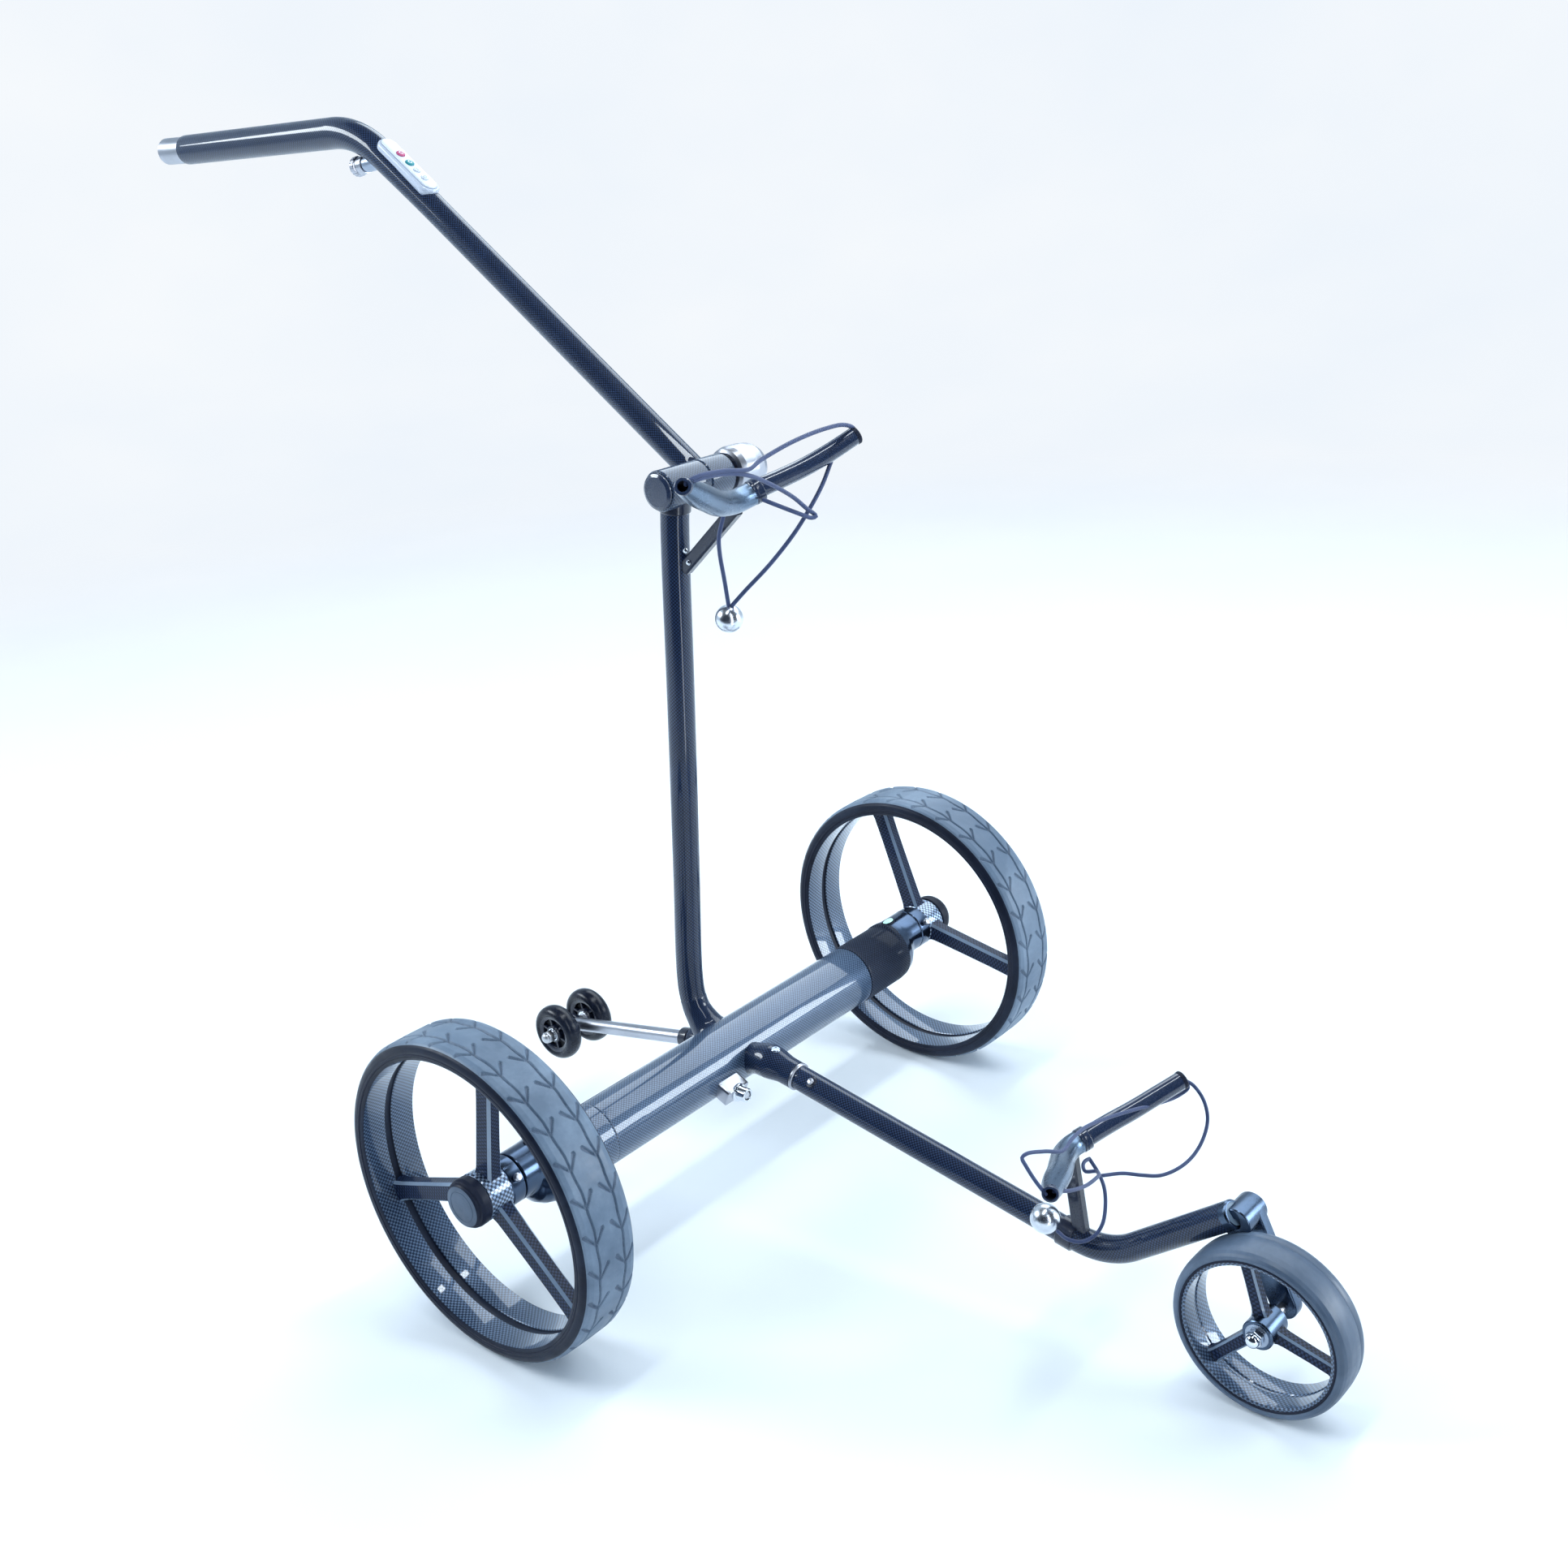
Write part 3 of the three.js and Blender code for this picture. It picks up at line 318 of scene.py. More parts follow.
# =====================================================================
# mesh builders
# =====================================================================
# A role is (body the part rides on, slot, *CAD nodes it replaces).
def build(name, skinned, role, materials, face_slots=None, sharp=38):
    verts, faces, corners = skinned
    body, slot, *replaced = role
    mesh = bpy.data.meshes.new(name)
    mesh.from_pydata([tuple(c * MM for c in v) for v in verts], [], faces)
    mesh.validate()
    layer = mesh.uv_layers.new(name="UVMap")
    uv = np.array([c for face in corners for c in face], np.float32).ravel()
    # validate() may drop a bad face; the corners would then no longer line up.
    if len(uv) == 2 * len(mesh.loops):
        layer.data.foreach_set("uv", uv)
    for material in [materials] if isinstance(materials, str) else materials:
        mesh.materials.append(MATERIALS[material])
    if face_slots is not None:
        mesh.polygons.foreach_set("material_index", [int(k) for k in face_slots])
    mesh.polygons.foreach_set("use_smooth", [True] * len(mesh.polygons))
    mesh.set_sharp_from_angle(angle=radians(sharp))
    mesh.update()
    part = bpy.data.objects.new(name, mesh)
    bpy.context.scene.collection.objects.link(part)
    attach(part, body)
    if replaced:
        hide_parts(*replaced)
    return part


def unit(vector):
    vector = np.asarray(vector, float)
    return vector / np.linalg.norm(vector)


def turned(angle):
    """In the YZ plane: the way out at an angle from +Y toward +Z, and the way round."""
    return np.array([0, cos(angle), sin(angle)]), np.array([0, -sin(angle), cos(angle)])


def axes(direction):
    """A direction with two unit vectors across it."""
    along = unit(direction)
    hint = X_AXIS if abs(along[0]) < 0.9 else np.array([0, 0, 1.0])
    side = unit(hint - along * (hint @ along))
    return along, side, np.cross(along, side)


def smooth(value):
    """Ease a value between 0 and 1."""
    value = min(1.0, max(0.0, value))
    return value * value * (3 - 2 * value)


def lengths_along(points):
    return np.concatenate([[0], np.cumsum(np.linalg.norm(np.diff(points, axis=0), axis=1))])


def quads(rows, rings, count):
    """Faces between successive rings of count points, row by row."""
    return [(i * count + j, i * count + (j + 1) % count,
             (i + 1) % rings * count + (j + 1) % count, (i + 1) % rings * count + j)
            for i in range(rows) for j in range(count)]


def patch(u0, u1, v0, v1):
    return [(u0, v0), (u1, v0), (u1, v1), (u0, v1)]


def outward(verts, faces, corners):
    """Turn all faces round if the volume comes out negative."""
    tris = np.array([(f[0], f[k], f[k + 1]) for f in faces for k in range(1, len(f) - 1)])
    a, b, c = (verts[tris[:, k]] for k in range(3))
    if np.einsum("ij,ij->i", a, np.cross(b, c)).sum() < 0:
        faces = [face[::-1] for face in faces]
        corners = [face[::-1] for face in corners]
    return verts, faces, corners


def cap_corners(ring):
    """Flat coordinates of a ring about its centre."""
    local = ring - ring.mean(0)
    across = unit(local[0])
    normal = unit(np.cross(local[0], local[len(ring) // 4]))
    return np.stack([local @ across, local @ np.cross(normal, across)], 1)


def skin(rings, loop=False, girth=None):
    """Cover rings of points: closed round if loop, else capped at both ends."""
    rings = np.asarray(rings, float)
    total, count = rings.shape[:2]
    gaps = np.linalg.norm(np.diff(rings, axis=0), axis=2).mean(1)
    along = np.concatenate([[0], np.cumsum(gaps)])
    if loop:
        closing = np.linalg.norm(rings[-1] - rings[0], axis=1).mean()
        along = np.append(along, along[-1] + closing)
    if girth is None:
        girth = float(np.linalg.norm(rings - np.roll(rings, -1, 1), axis=2).sum(1).max())
    rows = len(along) - 1
    faces = quads(rows, total, count)
    corners = [patch(girth * j / count, girth * (j + 1) / count, along[i], along[i + 1])
               for i in range(rows) for j in range(count)]
    if not loop:
        for ring, first, step in ((rings[0], 0, -1), (rings[-1], (total - 1) * count, 1)):
            order = list(range(count))[::step]
            faces.append(tuple(first + k for k in order))
            corners.append(cap_corners(ring)[order])
    return outward(rings.reshape(-1, 3), faces, corners)


def face_centres(skinned):
    verts, faces, _ = skinned
    return [verts[list(face)].mean(0) for face in faces]


def swing(start, end, angle, share):
    """The arm start turned a share of the angle toward end."""
    return (start * sin((1 - share) * angle) + end * sin(share * angle)) / sin(angle)


def round_corners(points, radius, steps=4, closed=False):
    """Round a polyline; a point's third number is its own radius."""
    out, last = [], len(points) - 1
    for i, point in enumerate(points):
        corner = np.array(point[:2], float)
        wanted = point[2] if len(point) > 2 else radius
        if (not closed and i in (0, last)) or wanted <= 0:
            out.append(tuple(corner))
            continue
        back = np.array(points[i - 1][:2], float) - corner
        ahead = np.array(points[(i + 1) % (last + 1)][:2], float) - corner
        back_length, ahead_length = np.linalg.norm(back), np.linalg.norm(ahead)
        back, ahead = back / back_length, ahead / ahead_length
        half = acos(float(np.clip(back @ ahead, -1, 1))) / 2
        if half > pi / 2 - 0.03:
            out.append(tuple(corner))
            continue
        setback = min(wanted / tan(half), back_length * 0.45, ahead_length * 0.45)
        arc_radius = setback * tan(half)
        centre = corner + unit(back + ahead) * (arc_radius / sin(half))
        start, end = corner + back * setback - centre, corner + ahead * setback - centre
        angle = acos(float(np.clip(start @ end / (arc_radius * arc_radius), -1, 1)))
        out += [tuple(centre + swing(start, end, angle, k / steps)) for k in range(steps + 1)]
    return out


def lathe(name, profile, role, material, at, along=(1, 0, 0), sides=64, corner=0.5, steps=4,
          loop=False, sharp=38, paint=None):
    """Turn a profile of (radius, place along the axis[, corner radius]).

    paint(radius, place) gives the material slot of a face.
    """
    if corner > 0:
        points = round_corners(profile, corner, steps, closed=loop)
    else:
        points = [point[:2] for point in profile]
    along, side, up = axes(along)
    at = np.array(at, float)
    turn = 2 * pi * (np.arange(sides) + 0.5) / sides
    circle = np.cos(turn)[:, None] * side + np.sin(turn)[:, None] * up
    least_radius = 0.02
    rings = [at + along * place + circle * max(radius, least_radius)
             for radius, place in points]
    skinned = skin(rings, loop=loop, girth=2 * pi * max(radius for radius, _ in points))
    slots = None
    if paint:
        slots = []
        for centre in face_centres(skinned):
            place = float((centre - at) @ along)
            slots.append(paint(float(np.linalg.norm(centre - at - along * place)), place))
    return build(name, skinned, role, material, slots, sharp)


def ball(name, centre, radius, role, material, sides=64):
    profile = [(radius * sin(t), -radius * cos(t)) for t in np.linspace(0, pi, 26)]
    lathe(name, profile, role, material, centre, (0, 0, 1), sides=sides, corner=0)


def oval_section(radius, place, half_height, half_width, count):
    """Lathe profile of a bead."""
    return [(radius + half_height * cos(t), place + half_width * sin(t))
            for t in np.linspace(0, 2 * pi, count, endpoint=False)]


def curve(points, step=2.0):
    """Centripetal Catmull-Rom curve through the points."""
    knots = np.array(points, float)
    knots = np.vstack([2 * knots[0] - knots[1], knots, 2 * knots[-1] - knots[-2]])

    def between(a, b, start, end, t):
        return (end - t) / (end - start) * a + (t - start) / (end - start) * b

    out = []
    for i in range(1, len(knots) - 2):
        p0, p1, p2, p3 = knots[i - 1:i + 3]
        t0 = 0
        t1 = t0 + np.linalg.norm(p1 - p0) ** 0.5
        t2 = t1 + np.linalg.norm(p2 - p1) ** 0.5
        t3 = t2 + np.linalg.norm(p3 - p2) ** 0.5
        count = max(2, int(np.linalg.norm(p2 - p1) / step))
        for t in np.linspace(t1, t2, count, endpoint=False):
            a1 = between(p0, p1, t0, t1, t)
            a2 = between(p1, p2, t1, t2, t)
            a3 = between(p2, p3, t2, t3, t)
            b1 = between(a1, a2, t0, t2, t)
            b2 = between(a2, a3, t1, t3, t)
            out.append(between(b1, b2, t1, t2, t))
    out.append(knots[-2])
    return np.array(out)


def bent(x, start, corner, end, radius, steps, step):
    """Path in a plane of constant x: two straight runs joined by one bend; ends are (y, z)."""
    start, corner, end = (np.array([x, *point], float) for point in (start, corner, end))
    back, ahead = unit(start - corner), unit(end - corner)
    half = acos(float(np.clip(back @ ahead, -1, 1))) / 2
    setback = radius / tan(half)
    centre = corner + unit(back + ahead) * radius / sin(half)
    enter, leave = corner + back * setback, corner + ahead * setback
    arm0, arm1 = enter - centre, leave - centre
    angle = acos(float(np.clip(arm0 @ arm1 / radius ** 2, -1, 1)))

    def line(a, b):
        count = max(2, int(np.linalg.norm(b - a) / step))
        return [a + (b - a) * i / count for i in range(count)]

    arc = [centre + swing(arm0, arm1, angle, share)
           for share in np.linspace(0, 1, steps, endpoint=False)]
    return np.array(line(start, enter) + arc + line(leave, end) + [end])


def end_steps(kind, radius, bore):
    """Steps of (way out past the end, scale, inset) that finish the end of a tube."""
    if kind == "round":
        quarter = [share * pi / 2 for share in (0.15, 0.35, 0.55, 0.75, 0.9, 1.0)]
        return [(radius * sin(t), cos(t), 0.0) for t in quarter]
    if kind == "bore":
        lip, depth, scale = 0.9, 14, bore / radius
        return [(lip * 0.7, 1.0, lip * 0.3), (lip, 1.0, lip), (lip, scale, 0.0),
                (lip - 0.6, scale * 0.94, 0.0), (-depth, scale * 0.92, 0.0)]
    edge = 0.8
    quarter = [share * pi / 2 for share in (0.25, 0.6, 1.0)]
    return [(edge * sin(t), 1.0, edge * (1 - cos(t))) for t in quarter]


def sweep(name, path, radius, role, material, sides=32, ends=("flat", "flat"),
          across=(1, 0, 0), bore=None, paint=None):
    """Tube along a path.

    radius is a number or a function of (share of the length, point) that gives a number or
    (half width toward across, half width square to it). paint(centre) gives a face's slot.
    """
    path = np.asarray(path, float)
    tangents = np.gradient(path, axis=0)
    tangents /= np.linalg.norm(tangents, axis=1)[:, None]
    side = np.array(across, float)
    side = unit(side - tangents[0] * (side @ tangents[0]))
    side_list = []
    for tangent in tangents:
        side = unit(side - tangent * (side @ tangent))
        side_list.append(side)
    side_vectors = np.array(side_list)
    up_vectors = np.cross(tangents, side_vectors)
    share = lengths_along(path)
    share /= share[-1]

    def widths(i):
        value = radius(share[i], path[i]) if callable(radius) else radius
        return value if isinstance(value, tuple) else (value, value)

    turn = 2 * pi * np.arange(sides) / sides
    cosines, sines = np.cos(turn)[:, None], np.sin(turn)[:, None]

    def ring(i, out=0.0, scale=1.0, inset=0.0):
        wide, high = (max(width * scale - inset, 0.02) for width in widths(i))
        return (path[i] + tangents[i] * out
                + cosines * side_vectors[i] * wide + sines * up_vectors[i] * high)

    last = len(path) - 1
    rings = [ring(0, -out, *shape) for out, *shape in end_steps(ends[0], min(widths(0)), bore)]
    rings = rings[::-1] + [ring(i) for i in range(last + 1)]
    rings += [ring(last, out, *shape)
              for out, *shape in end_steps(ends[1], min(widths(last)), bore)]
    skinned = skin(rings)
    slots = [paint(centre) for centre in face_centres(skinned)] if paint else None
    build(name, skinned, role, material, slots)


def prism(name, outline, bottom, top, basis, role, material, bevel=0.8, steps=3,
          bottom_bevel=None):
    """Closed outline raised from bottom to top; basis is (origin, x, y, height directions)."""
    origin, ex, ey, ez = (np.array(vector, float) for vector in basis)
    points = np.array(outline, float)
    if (points * np.roll(points, -1, 0)[:, ::-1] * [1, -1]).sum() < 0:
        points = points[::-1]
    tangents = np.roll(points, -1, 0) - np.roll(points, 1, 0)
    tangents /= np.linalg.norm(tangents, axis=1)[:, None]
    normals = np.stack([tangents[:, 1], -tangents[:, 0]], 1)

    def rounding(size):
        """(distance from the face, inset) from the face to the side."""
        if size <= 0:
            return [(0, 0)]
        return [(size * (1 - sin(share * pi / 2)), size * (1 - cos(share * pi / 2)))
                for share in np.linspace(1, 0, steps + 1)]

    lower = rounding(bevel if bottom_bevel is None else bottom_bevel)
    levels = [(bottom + rise, inset) for rise, inset in lower]
    levels += [(top - drop, inset) for drop, inset in rounding(bevel)[::-1]]
    rings = []
    for height, inset in levels:
        flat = points - normals * inset
        rings.append(origin + flat[:, :1] * ex + flat[:, 1:] * ey + height * ez)
    return build(name, skin(rings), role, material)


def stadium(length, radius0, radius1, count):
    """Outline round a circle at x = 0 and another at x = length."""
    lean = acos((radius0 - radius1) / length)
    return ([(radius0 * cos(t), radius0 * sin(t))
             for t in np.linspace(lean, 2 * pi - lean, count)]
            + [(length + radius1 * cos(t), radius1 * sin(t))
               for t in np.linspace(-lean, lean, count)])


def chamfered(width, height, chamfer):
    """Rectangle with cut corners."""
    w, h, c = width / 2, height / 2, chamfer
    return [(-w + c, -h), (w - c, -h), (w, -h + c), (w, h - c),
            (w - c, h), (-w + c, h), (-w, h - c), (-w, -h + c)]


def bar(name, start, end, width, height, role, material, chamfer):
    """Straight bar in a YZ plane, width along X."""
    start, end = np.array(start, float), np.array(end, float)
    along = unit(end - start)
    side = unit(X_AXIS - along * (X_AXIS @ along))
    up = np.cross(along, side)
    rings = [[point + side * x + up * y for x, y in chamfered(width, height, chamfer)]
             for point in (start, end)]
    build(name, skin(rings), role, material, sharp=25)


def spoke(name, centre, angle, stations, chamfer, girth, role):
    """Wheel spoke; stations are (radius, width along X, height)."""
    out, around = turned(angle)
    rings = [[centre + out * radius + X_AXIS * x + around * y
              for x, y in chamfered(width, height, chamfer)]
             for radius, width, height in stations]
    # The chamfer strips are every second side face and carry a lighter material, a painted
    # highlight along the spoke edges; the caps are plain.
    slots = [j % 2 for _ in stations[1:] for j in range(8)] + [0, 0]
    build(name, skin(rings, girth=girth), role, ["carbon_spoke", "spoke_edge_highlight"], slots, sharp=20)


def domed_nut(name, role, material, at, along, radius=6.6, height=6.2, dome=5.4):
    hexagon = [(radius * cos(pi / 3 * k), radius * sin(pi / 3 * k)) for k in range(6)]
    direction, side, up = axes(along)
    prism(name + "_hex", hexagon, 0, height, (at, side, up, direction), role, material,
          bevel=0.7, steps=2)
    base = height + 0.3
    profile = [(0, height - 0.5), (dome, height - 0.5), (dome, base)]
    profile += [(dome * cos(t), base + dome * 0.8 * sin(t))
                for t in np.linspace(0.12, pi / 2, 10)]
    lathe(name + "_dome", profile, role, material, at, along, sides=36, corner=0)


# =====================================================================
# drive wheels; the axle height equals the wheel radius
# =====================================================================
WHEEL_RADIUS = 145.0
TREAD_MIDDLE = 299.5
TREAD_PITCHES = 29
STEPS_PER_PITCH = 30
# (radius, distance from the middle of the frame along X)
TYRE_OUTLINE = [
    (134.5, 271.6), (137, 271), (140.5, 272), (143.6, 275.2), (145, 279.5), (145.35, 299.5),
    (145, 320), (143.6, 323.8), (140.5, 327), (137, 328), (134.5, 327.4)]
TYRE_BORE = np.array([(133.9, 320), (133.9, 279)])
GROOVE_DEPTH = 1.5
GROOVE_SOFTNESS = 0.135
GROOVE_WIDTH = 1.9
GROOVE_PLACE = 13.5          # either side of the tread's middle
GROOVE_WAVE = 0.5            # sideways swing, one wave per pitch
NODE_ANGLE = 138.6           # degrees; the branches start here and at every pitch from here
BRANCH_LEANS = (9.6, -8.6)   # sideways run, positive away from the tread's middle
BRANCH_LENGTH = 11.5
BRANCH_WIDTH, BRANCH_FLARE = 0.9, 2.3
GROOVE_LIMIT, FADE_WIDTH = 27.6, 2.0
TREAD_HALF = 25.9            # the tread material ends here
# (radius, width along X, height)
SPOKE_STATIONS = [
    (19.0, 16.0, 20.5), (21.5, 14.8, 19.4), (25, 14.2, 18.6), (32, 14, 18.2), (60, 13.6, 17.6),
    (95, 13.4, 17.2), (120, 13.8, 17.6), (126, 14.6, 18.6), (130.4, 17, 21)]


def groove(distance, width):
    return GROOVE_DEPTH / (1 + np.exp((distance - width / 2) / GROOVE_SOFTNESS))


def tread_depth(travel, across, arc):
    """Groove depth at each travel round the wheel and place across the tread."""
    depth = np.zeros((len(travel), across.shape[1]))
    wave = GROOVE_WAVE * np.sin(2 * pi * travel / arc)
    node = NODE_ANGLE / (360.0 / TREAD_PITCHES) % 1 * arc
    past_node = (travel - node + arc / 2) % arc - arc / 2
    for hand in (-1, 1):
        line = hand * (GROOVE_PLACE + wave)
        depth = np.maximum(depth, groove(np.abs(across - line), GROOVE_WIDTH))
        aside = across - hand * GROOVE_PLACE
        for lean in BRANCH_LEANS:
            run = hand * lean
            for shift in (0.0, arc, -arc):
                ahead = past_node + shift
                share = np.clip((aside * run - ahead * BRANCH_LENGTH)
                                / (run * run + BRANCH_LENGTH * BRANCH_LENGTH), 0, 1)
                gap = np.hypot(aside - share * run, ahead + share * BRANCH_LENGTH)
                depth = np.maximum(depth, groove(gap, BRANCH_WIDTH + BRANCH_FLARE * share))
    return depth * np.clip((GROOVE_LIMIT - np.abs(across)) / FADE_WIDTH, 0, 1)


def drive_tyre(side, sign):
    """One finely divided ring with the tread pressed in."""
    outline = np.array(round_corners(TYRE_OUTLINE, radius=1.2, steps=3))
    reach = lengths_along(outline)
    wall = 10
    stations = np.unique(np.concatenate([
        np.linspace(0, wall, 9), np.linspace(wall, reach[-1] - wall, 100),
        np.linspace(reach[-1] - wall, reach[-1], 9)]))
    radius = np.interp(stations, reach, outline[:, 0])
    place = np.interp(stations, reach, outline[:, 1])
    count = TREAD_PITCHES * STEPS_PER_PITCH
    arc = 2 * pi * WHEEL_RADIUS / TREAD_PITCHES
    turn = np.radians(np.arange(count) * 360.0 / count)[:, None]
    travel = (np.arange(count) * arc * TREAD_PITCHES / count)[:, None]
    depth = tread_depth(travel, (place - TREAD_MIDDLE)[None, :], arc)
    radii = np.hstack([radius - depth, np.tile(TYRE_BORE[:, 0], (count, 1))])
    places = np.tile(np.append(place, TYRE_BORE[:, 1]) * sign, (count, 1))
    rings = np.stack([places, np.cos(turn) * radii, np.sin(turn) * radii + WHEEL_RADIUS], 2)
    width = rings.shape[1]
    deep = depth > 0.8

    def slot(i, j):
        if j >= len(stations) - 1:
            return 1
        # Faces deep in a groove get the darker groove rubber, painted shade.
        if deep[i, j] and deep[i, j + 1]:
            return 2
        return 0 if abs((place[j] + place[j + 1]) / 2 - TREAD_MIDDLE) < TREAD_HALF else 1

    cells = [(i, j) for i in range(count) for j in range(width)]
    corners = [patch(j, (j + 1) % width, i, i + 1) for i, j in cells]
    skinned = outward(rings.reshape(-1, 3), quads(count, count, width), corners)
    build(side + "_tyre_tread", skinned, (side + "_drive_wheel", "tyre", side + "_tyre"),
          ["tyre_tread", "tyre_side", "tyre_groove_shade"], [slot(i, j) for i, j in cells], sharp=30)


def drive_wheel(side, sign, first_spoke):
    """Tyre, rim, hub, cap, three spokes and a pin; profile places run outward along X."""
    body = side + "_drive_wheel"
    role = (body, "carbon", side + "_wheel")
    turned_on = dict(at=(0, 0, WHEEL_RADIUS), along=(sign, 0, 0))
    drive_tyre(side, sign)
    hoop = [
        (129.4, 272.8, 0.5), (132.2, 271.9, 0.8), (134.2, 272.6, 0.5), (134.2, 326.6, 0.5),
        (132.2, 327.3, 0.8), (129.4, 326.2, 0.5), (129.4, 303.4, 0.5), (130.2, 302.8, 0.3),
        (131.6, 302.4, 0.4), (131.6, 296.6, 0.4), (130.2, 296.2, 0.3), (129.4, 295.6, 0.5)]
    # Slot 1, the near-black tyre_side rubber, goes on both lips and on the middle channel of the
    # inner surface; in the channel it is painted shade.
    lathe(side + "_rim_hoop", hoop, role, ["carbon_rim", "tyre_side"], **turned_on,
          sides=192, corner=0.6, steps=2, loop=True, sharp=50,
          paint=lambda r, x: (296 < x < 303 and 129.9 < r < 132.2) or x < 273.2 or x > 325.8)
    for tag, place in (("out", 326.9), ("in", 272.3)):
        lathe(side + "_rim_bead_" + tag, oval_section(134.3, place, 1.5, 1.1, 12),
              (body, "tyre"), "dark_cap", **turned_on, sides=144, corner=0, loop=True)
    hub = [
        (12.4, 276.4), (20.6, 276.4, 1.0), (21.5, 277.6, 0.5), (21.5, 289.4, 0.3),
        (20.9, 289.8, 0.2), (20.9, 290.8, 0.2), (21.5, 291.2, 0.3), (21.5, 311.6, 0.5),
        (20.8, 313.2, 0.4), (12.4, 313.2)]
    lathe(side + "_hub_body", hub, role, ["carbon_hub", "neck_coat"], **turned_on,
          sides=96, corner=0.4, loop=True, paint=lambda r, x: x < 290.4)
    cap = [
        (0, 313.7), (21.0, 313.7, 0.3), (21.6, 314.6, 0.5), (21.8, 321.0, 1.2),
        (20.9, 324.4, 0.8), (19.6, 325.2, 0.3), (19.6, 326.2, 0.4), (18.4, 327.9, 0.9),
        (14, 328.4, 0.4), (13.4, 327.9, 0.2), (12.9, 328.3, 0.2), (0, 328.6)]
    lathe(side + "_cap_shell", cap, (body, "dark_satin", side + "_hub_cap"),
          ["dark_cap", "cap_face"], **turned_on, sides=96, corner=0.4,
          paint=lambda r, x: x > 327.4 and r < 17.6)
    for k in range(3):
        spoke(f"{side}_spoke_{k + 1}", np.array([sign * 299.6, 0, WHEEL_RADIUS]),
              radians(first_spoke + 120 * k), SPOKE_STATIONS, chamfer=2.3, girth=62, role=role)
    out, _ = turned(radians(150))
    lathe(side + "_pin_head",
          [(0, 0), (2.3, 0), (2.3, 8.4), (3.6, 8.6), (3.7, 11.0, 0.8), (2.8, 12.2, 0.5),
           (0, 12.4)],
          (side + "_pin", "silver", side + "_release_pin"), "silver",
          at=np.array([sign * 284.5, 0, WHEEL_RADIUS]) + out * 15, along=out,
          sides=36, corner=0.3)


drive_wheel("left", 1, first_spoke=71)
drive_wheel("right", -1, first_spoke=101)

# =====================================================================
# axle beam and end sleeves
# =====================================================================
BEAM_Z = 134.5
SLEEVE_RADIUS = 30.3
NECK_RADIUS = 21.5
NECK_RISE = WHEEL_RADIUS - BEAM_Z
# (radius, distance from the middle of the beam)
SLEEVE_OUTLINE = np.array([
    (30.0, 178.9), (SLEEVE_RADIUS, 179.6), (SLEEVE_RADIUS, 236), (29.5, 243.5), (26.9, 251.5),
    (22.3, 258.5), (15.3, 264), (7.3, 267.3), (0.1, 268)])

lathe("beam_tube",
      [(27.6, -178.4), (29.6, -178.4, 0.3), (30.0, -177.6), (30.0, 177.6),
       (29.6, 178.4, 0.3), (27.6, 178.4)],
      ("frame", "carbon", "axle_tube"), "carbon_axle", at=(0, 0, BEAM_Z), sides=128,
      corner=0.3, loop=True)


def circle_reach(compass, offset, radius):
    """Distance each way to a circle, from a point offset from its centre; -9 for a miss."""
    forward = compass @ offset
    square = forward * forward - (offset @ offset - radius * radius)
    return np.where(square > 0, -forward + np.sqrt(np.maximum(square, 0)), -9.0)


def sleeve_skin(side, sign):
    """A round end that flows into the neck, whose axis is the wheel's."""
    count = 128
    turn = 2 * pi * (np.arange(count) + 0.5) / count
    compass = np.stack([np.cos(turn), np.sin(turn)], 1)
    stations = np.concatenate([[178.9, 179.2, 179.8], np.linspace(182, 232, 11),
                               np.linspace(235, 275.2, 44), [275.7, 276.0]])
    softness, most_swell = 0.5, 1.2
    rings = []
    for x in stations:
        rise = NECK_RISE * smooth((x - 236) / 22.0)
        body_radius = np.interp(x, SLEEVE_OUTLINE[:, 1], SLEEVE_OUTLINE[:, 0], right=0)
        reach = body = circle_reach(compass, np.array([0.0, rise]), body_radius)
        if x > 238:
            neck = circle_reach(compass, np.array([0.0, rise - NECK_RISE]), NECK_RADIUS)
            outer = np.maximum(body, neck)
            union = outer + np.log(np.exp(softness * (body - outer))
                                   + np.exp(softness * (neck - outer))) / softness
            reach = np.minimum(union, outer + most_swell)
        if x >= 275.6:
            reach = reach - 0.5 * (x - 275.2)
        rings.append(np.stack([np.full(count, x * sign), reach * compass[:, 0],
                               BEAM_Z + rise + reach * compass[:, 1]], 1))
    skinned = skin(rings, girth=2 * pi * 30)
    build(side + "_sleeve_skin", skinned, ("frame", "carbon", side + "_end_sleeve"),
          ["carbon_sleeve" if side == "left" else "carbon_axle", "neck_coat"],
          [centre[0] * sign > 243.2 for centre in face_centres(skinned)], sharp=40)


def status_light(side, sign):
    """Oval lamp on top of the neck."""
    def oval(half_length, half_width, power=2.2):
        return [(half_length * copysign(abs(cos(t)) ** (2 / power), cos(t)),
                 half_width * copysign(abs(sin(t)) ** (2 / power), sin(t)))
                for t in np.linspace(0, 2 * pi, 40, endpoint=False)]

    basis = ((sign * 247.5, 0, 163.6), (1, 0, 0), (0, 1, 0), (0, 0, 1))
    node = side + "_status_light"
    prism(side + "_lamp_bezel", oval(8.9, 5.4), 0.0, 4.2, basis,
          ("frame", "dark_satin", node), "dark_cap", bevel=1.0)
    prism(side + "_lamp_lens", oval(7.0, 3.8), 3.0, 5.0, basis,
          ("frame", "lamp", node), "lamp_lens", bevel=1.2)


for side, sign in (("left", 1), ("right", -1)):
    sleeve_skin(side, sign)
    if side == "left":
        lathe("left_sleeve_seam", [(29.3, 178.2), (29.3, 179.1), (29.0, 179.1), (29.0, 178.2)],
              ("frame", "dark_satin"), "hole_dark", at=(0, 0, BEAM_Z), sides=96, corner=0,
              loop=True)
    status_light(side, sign)

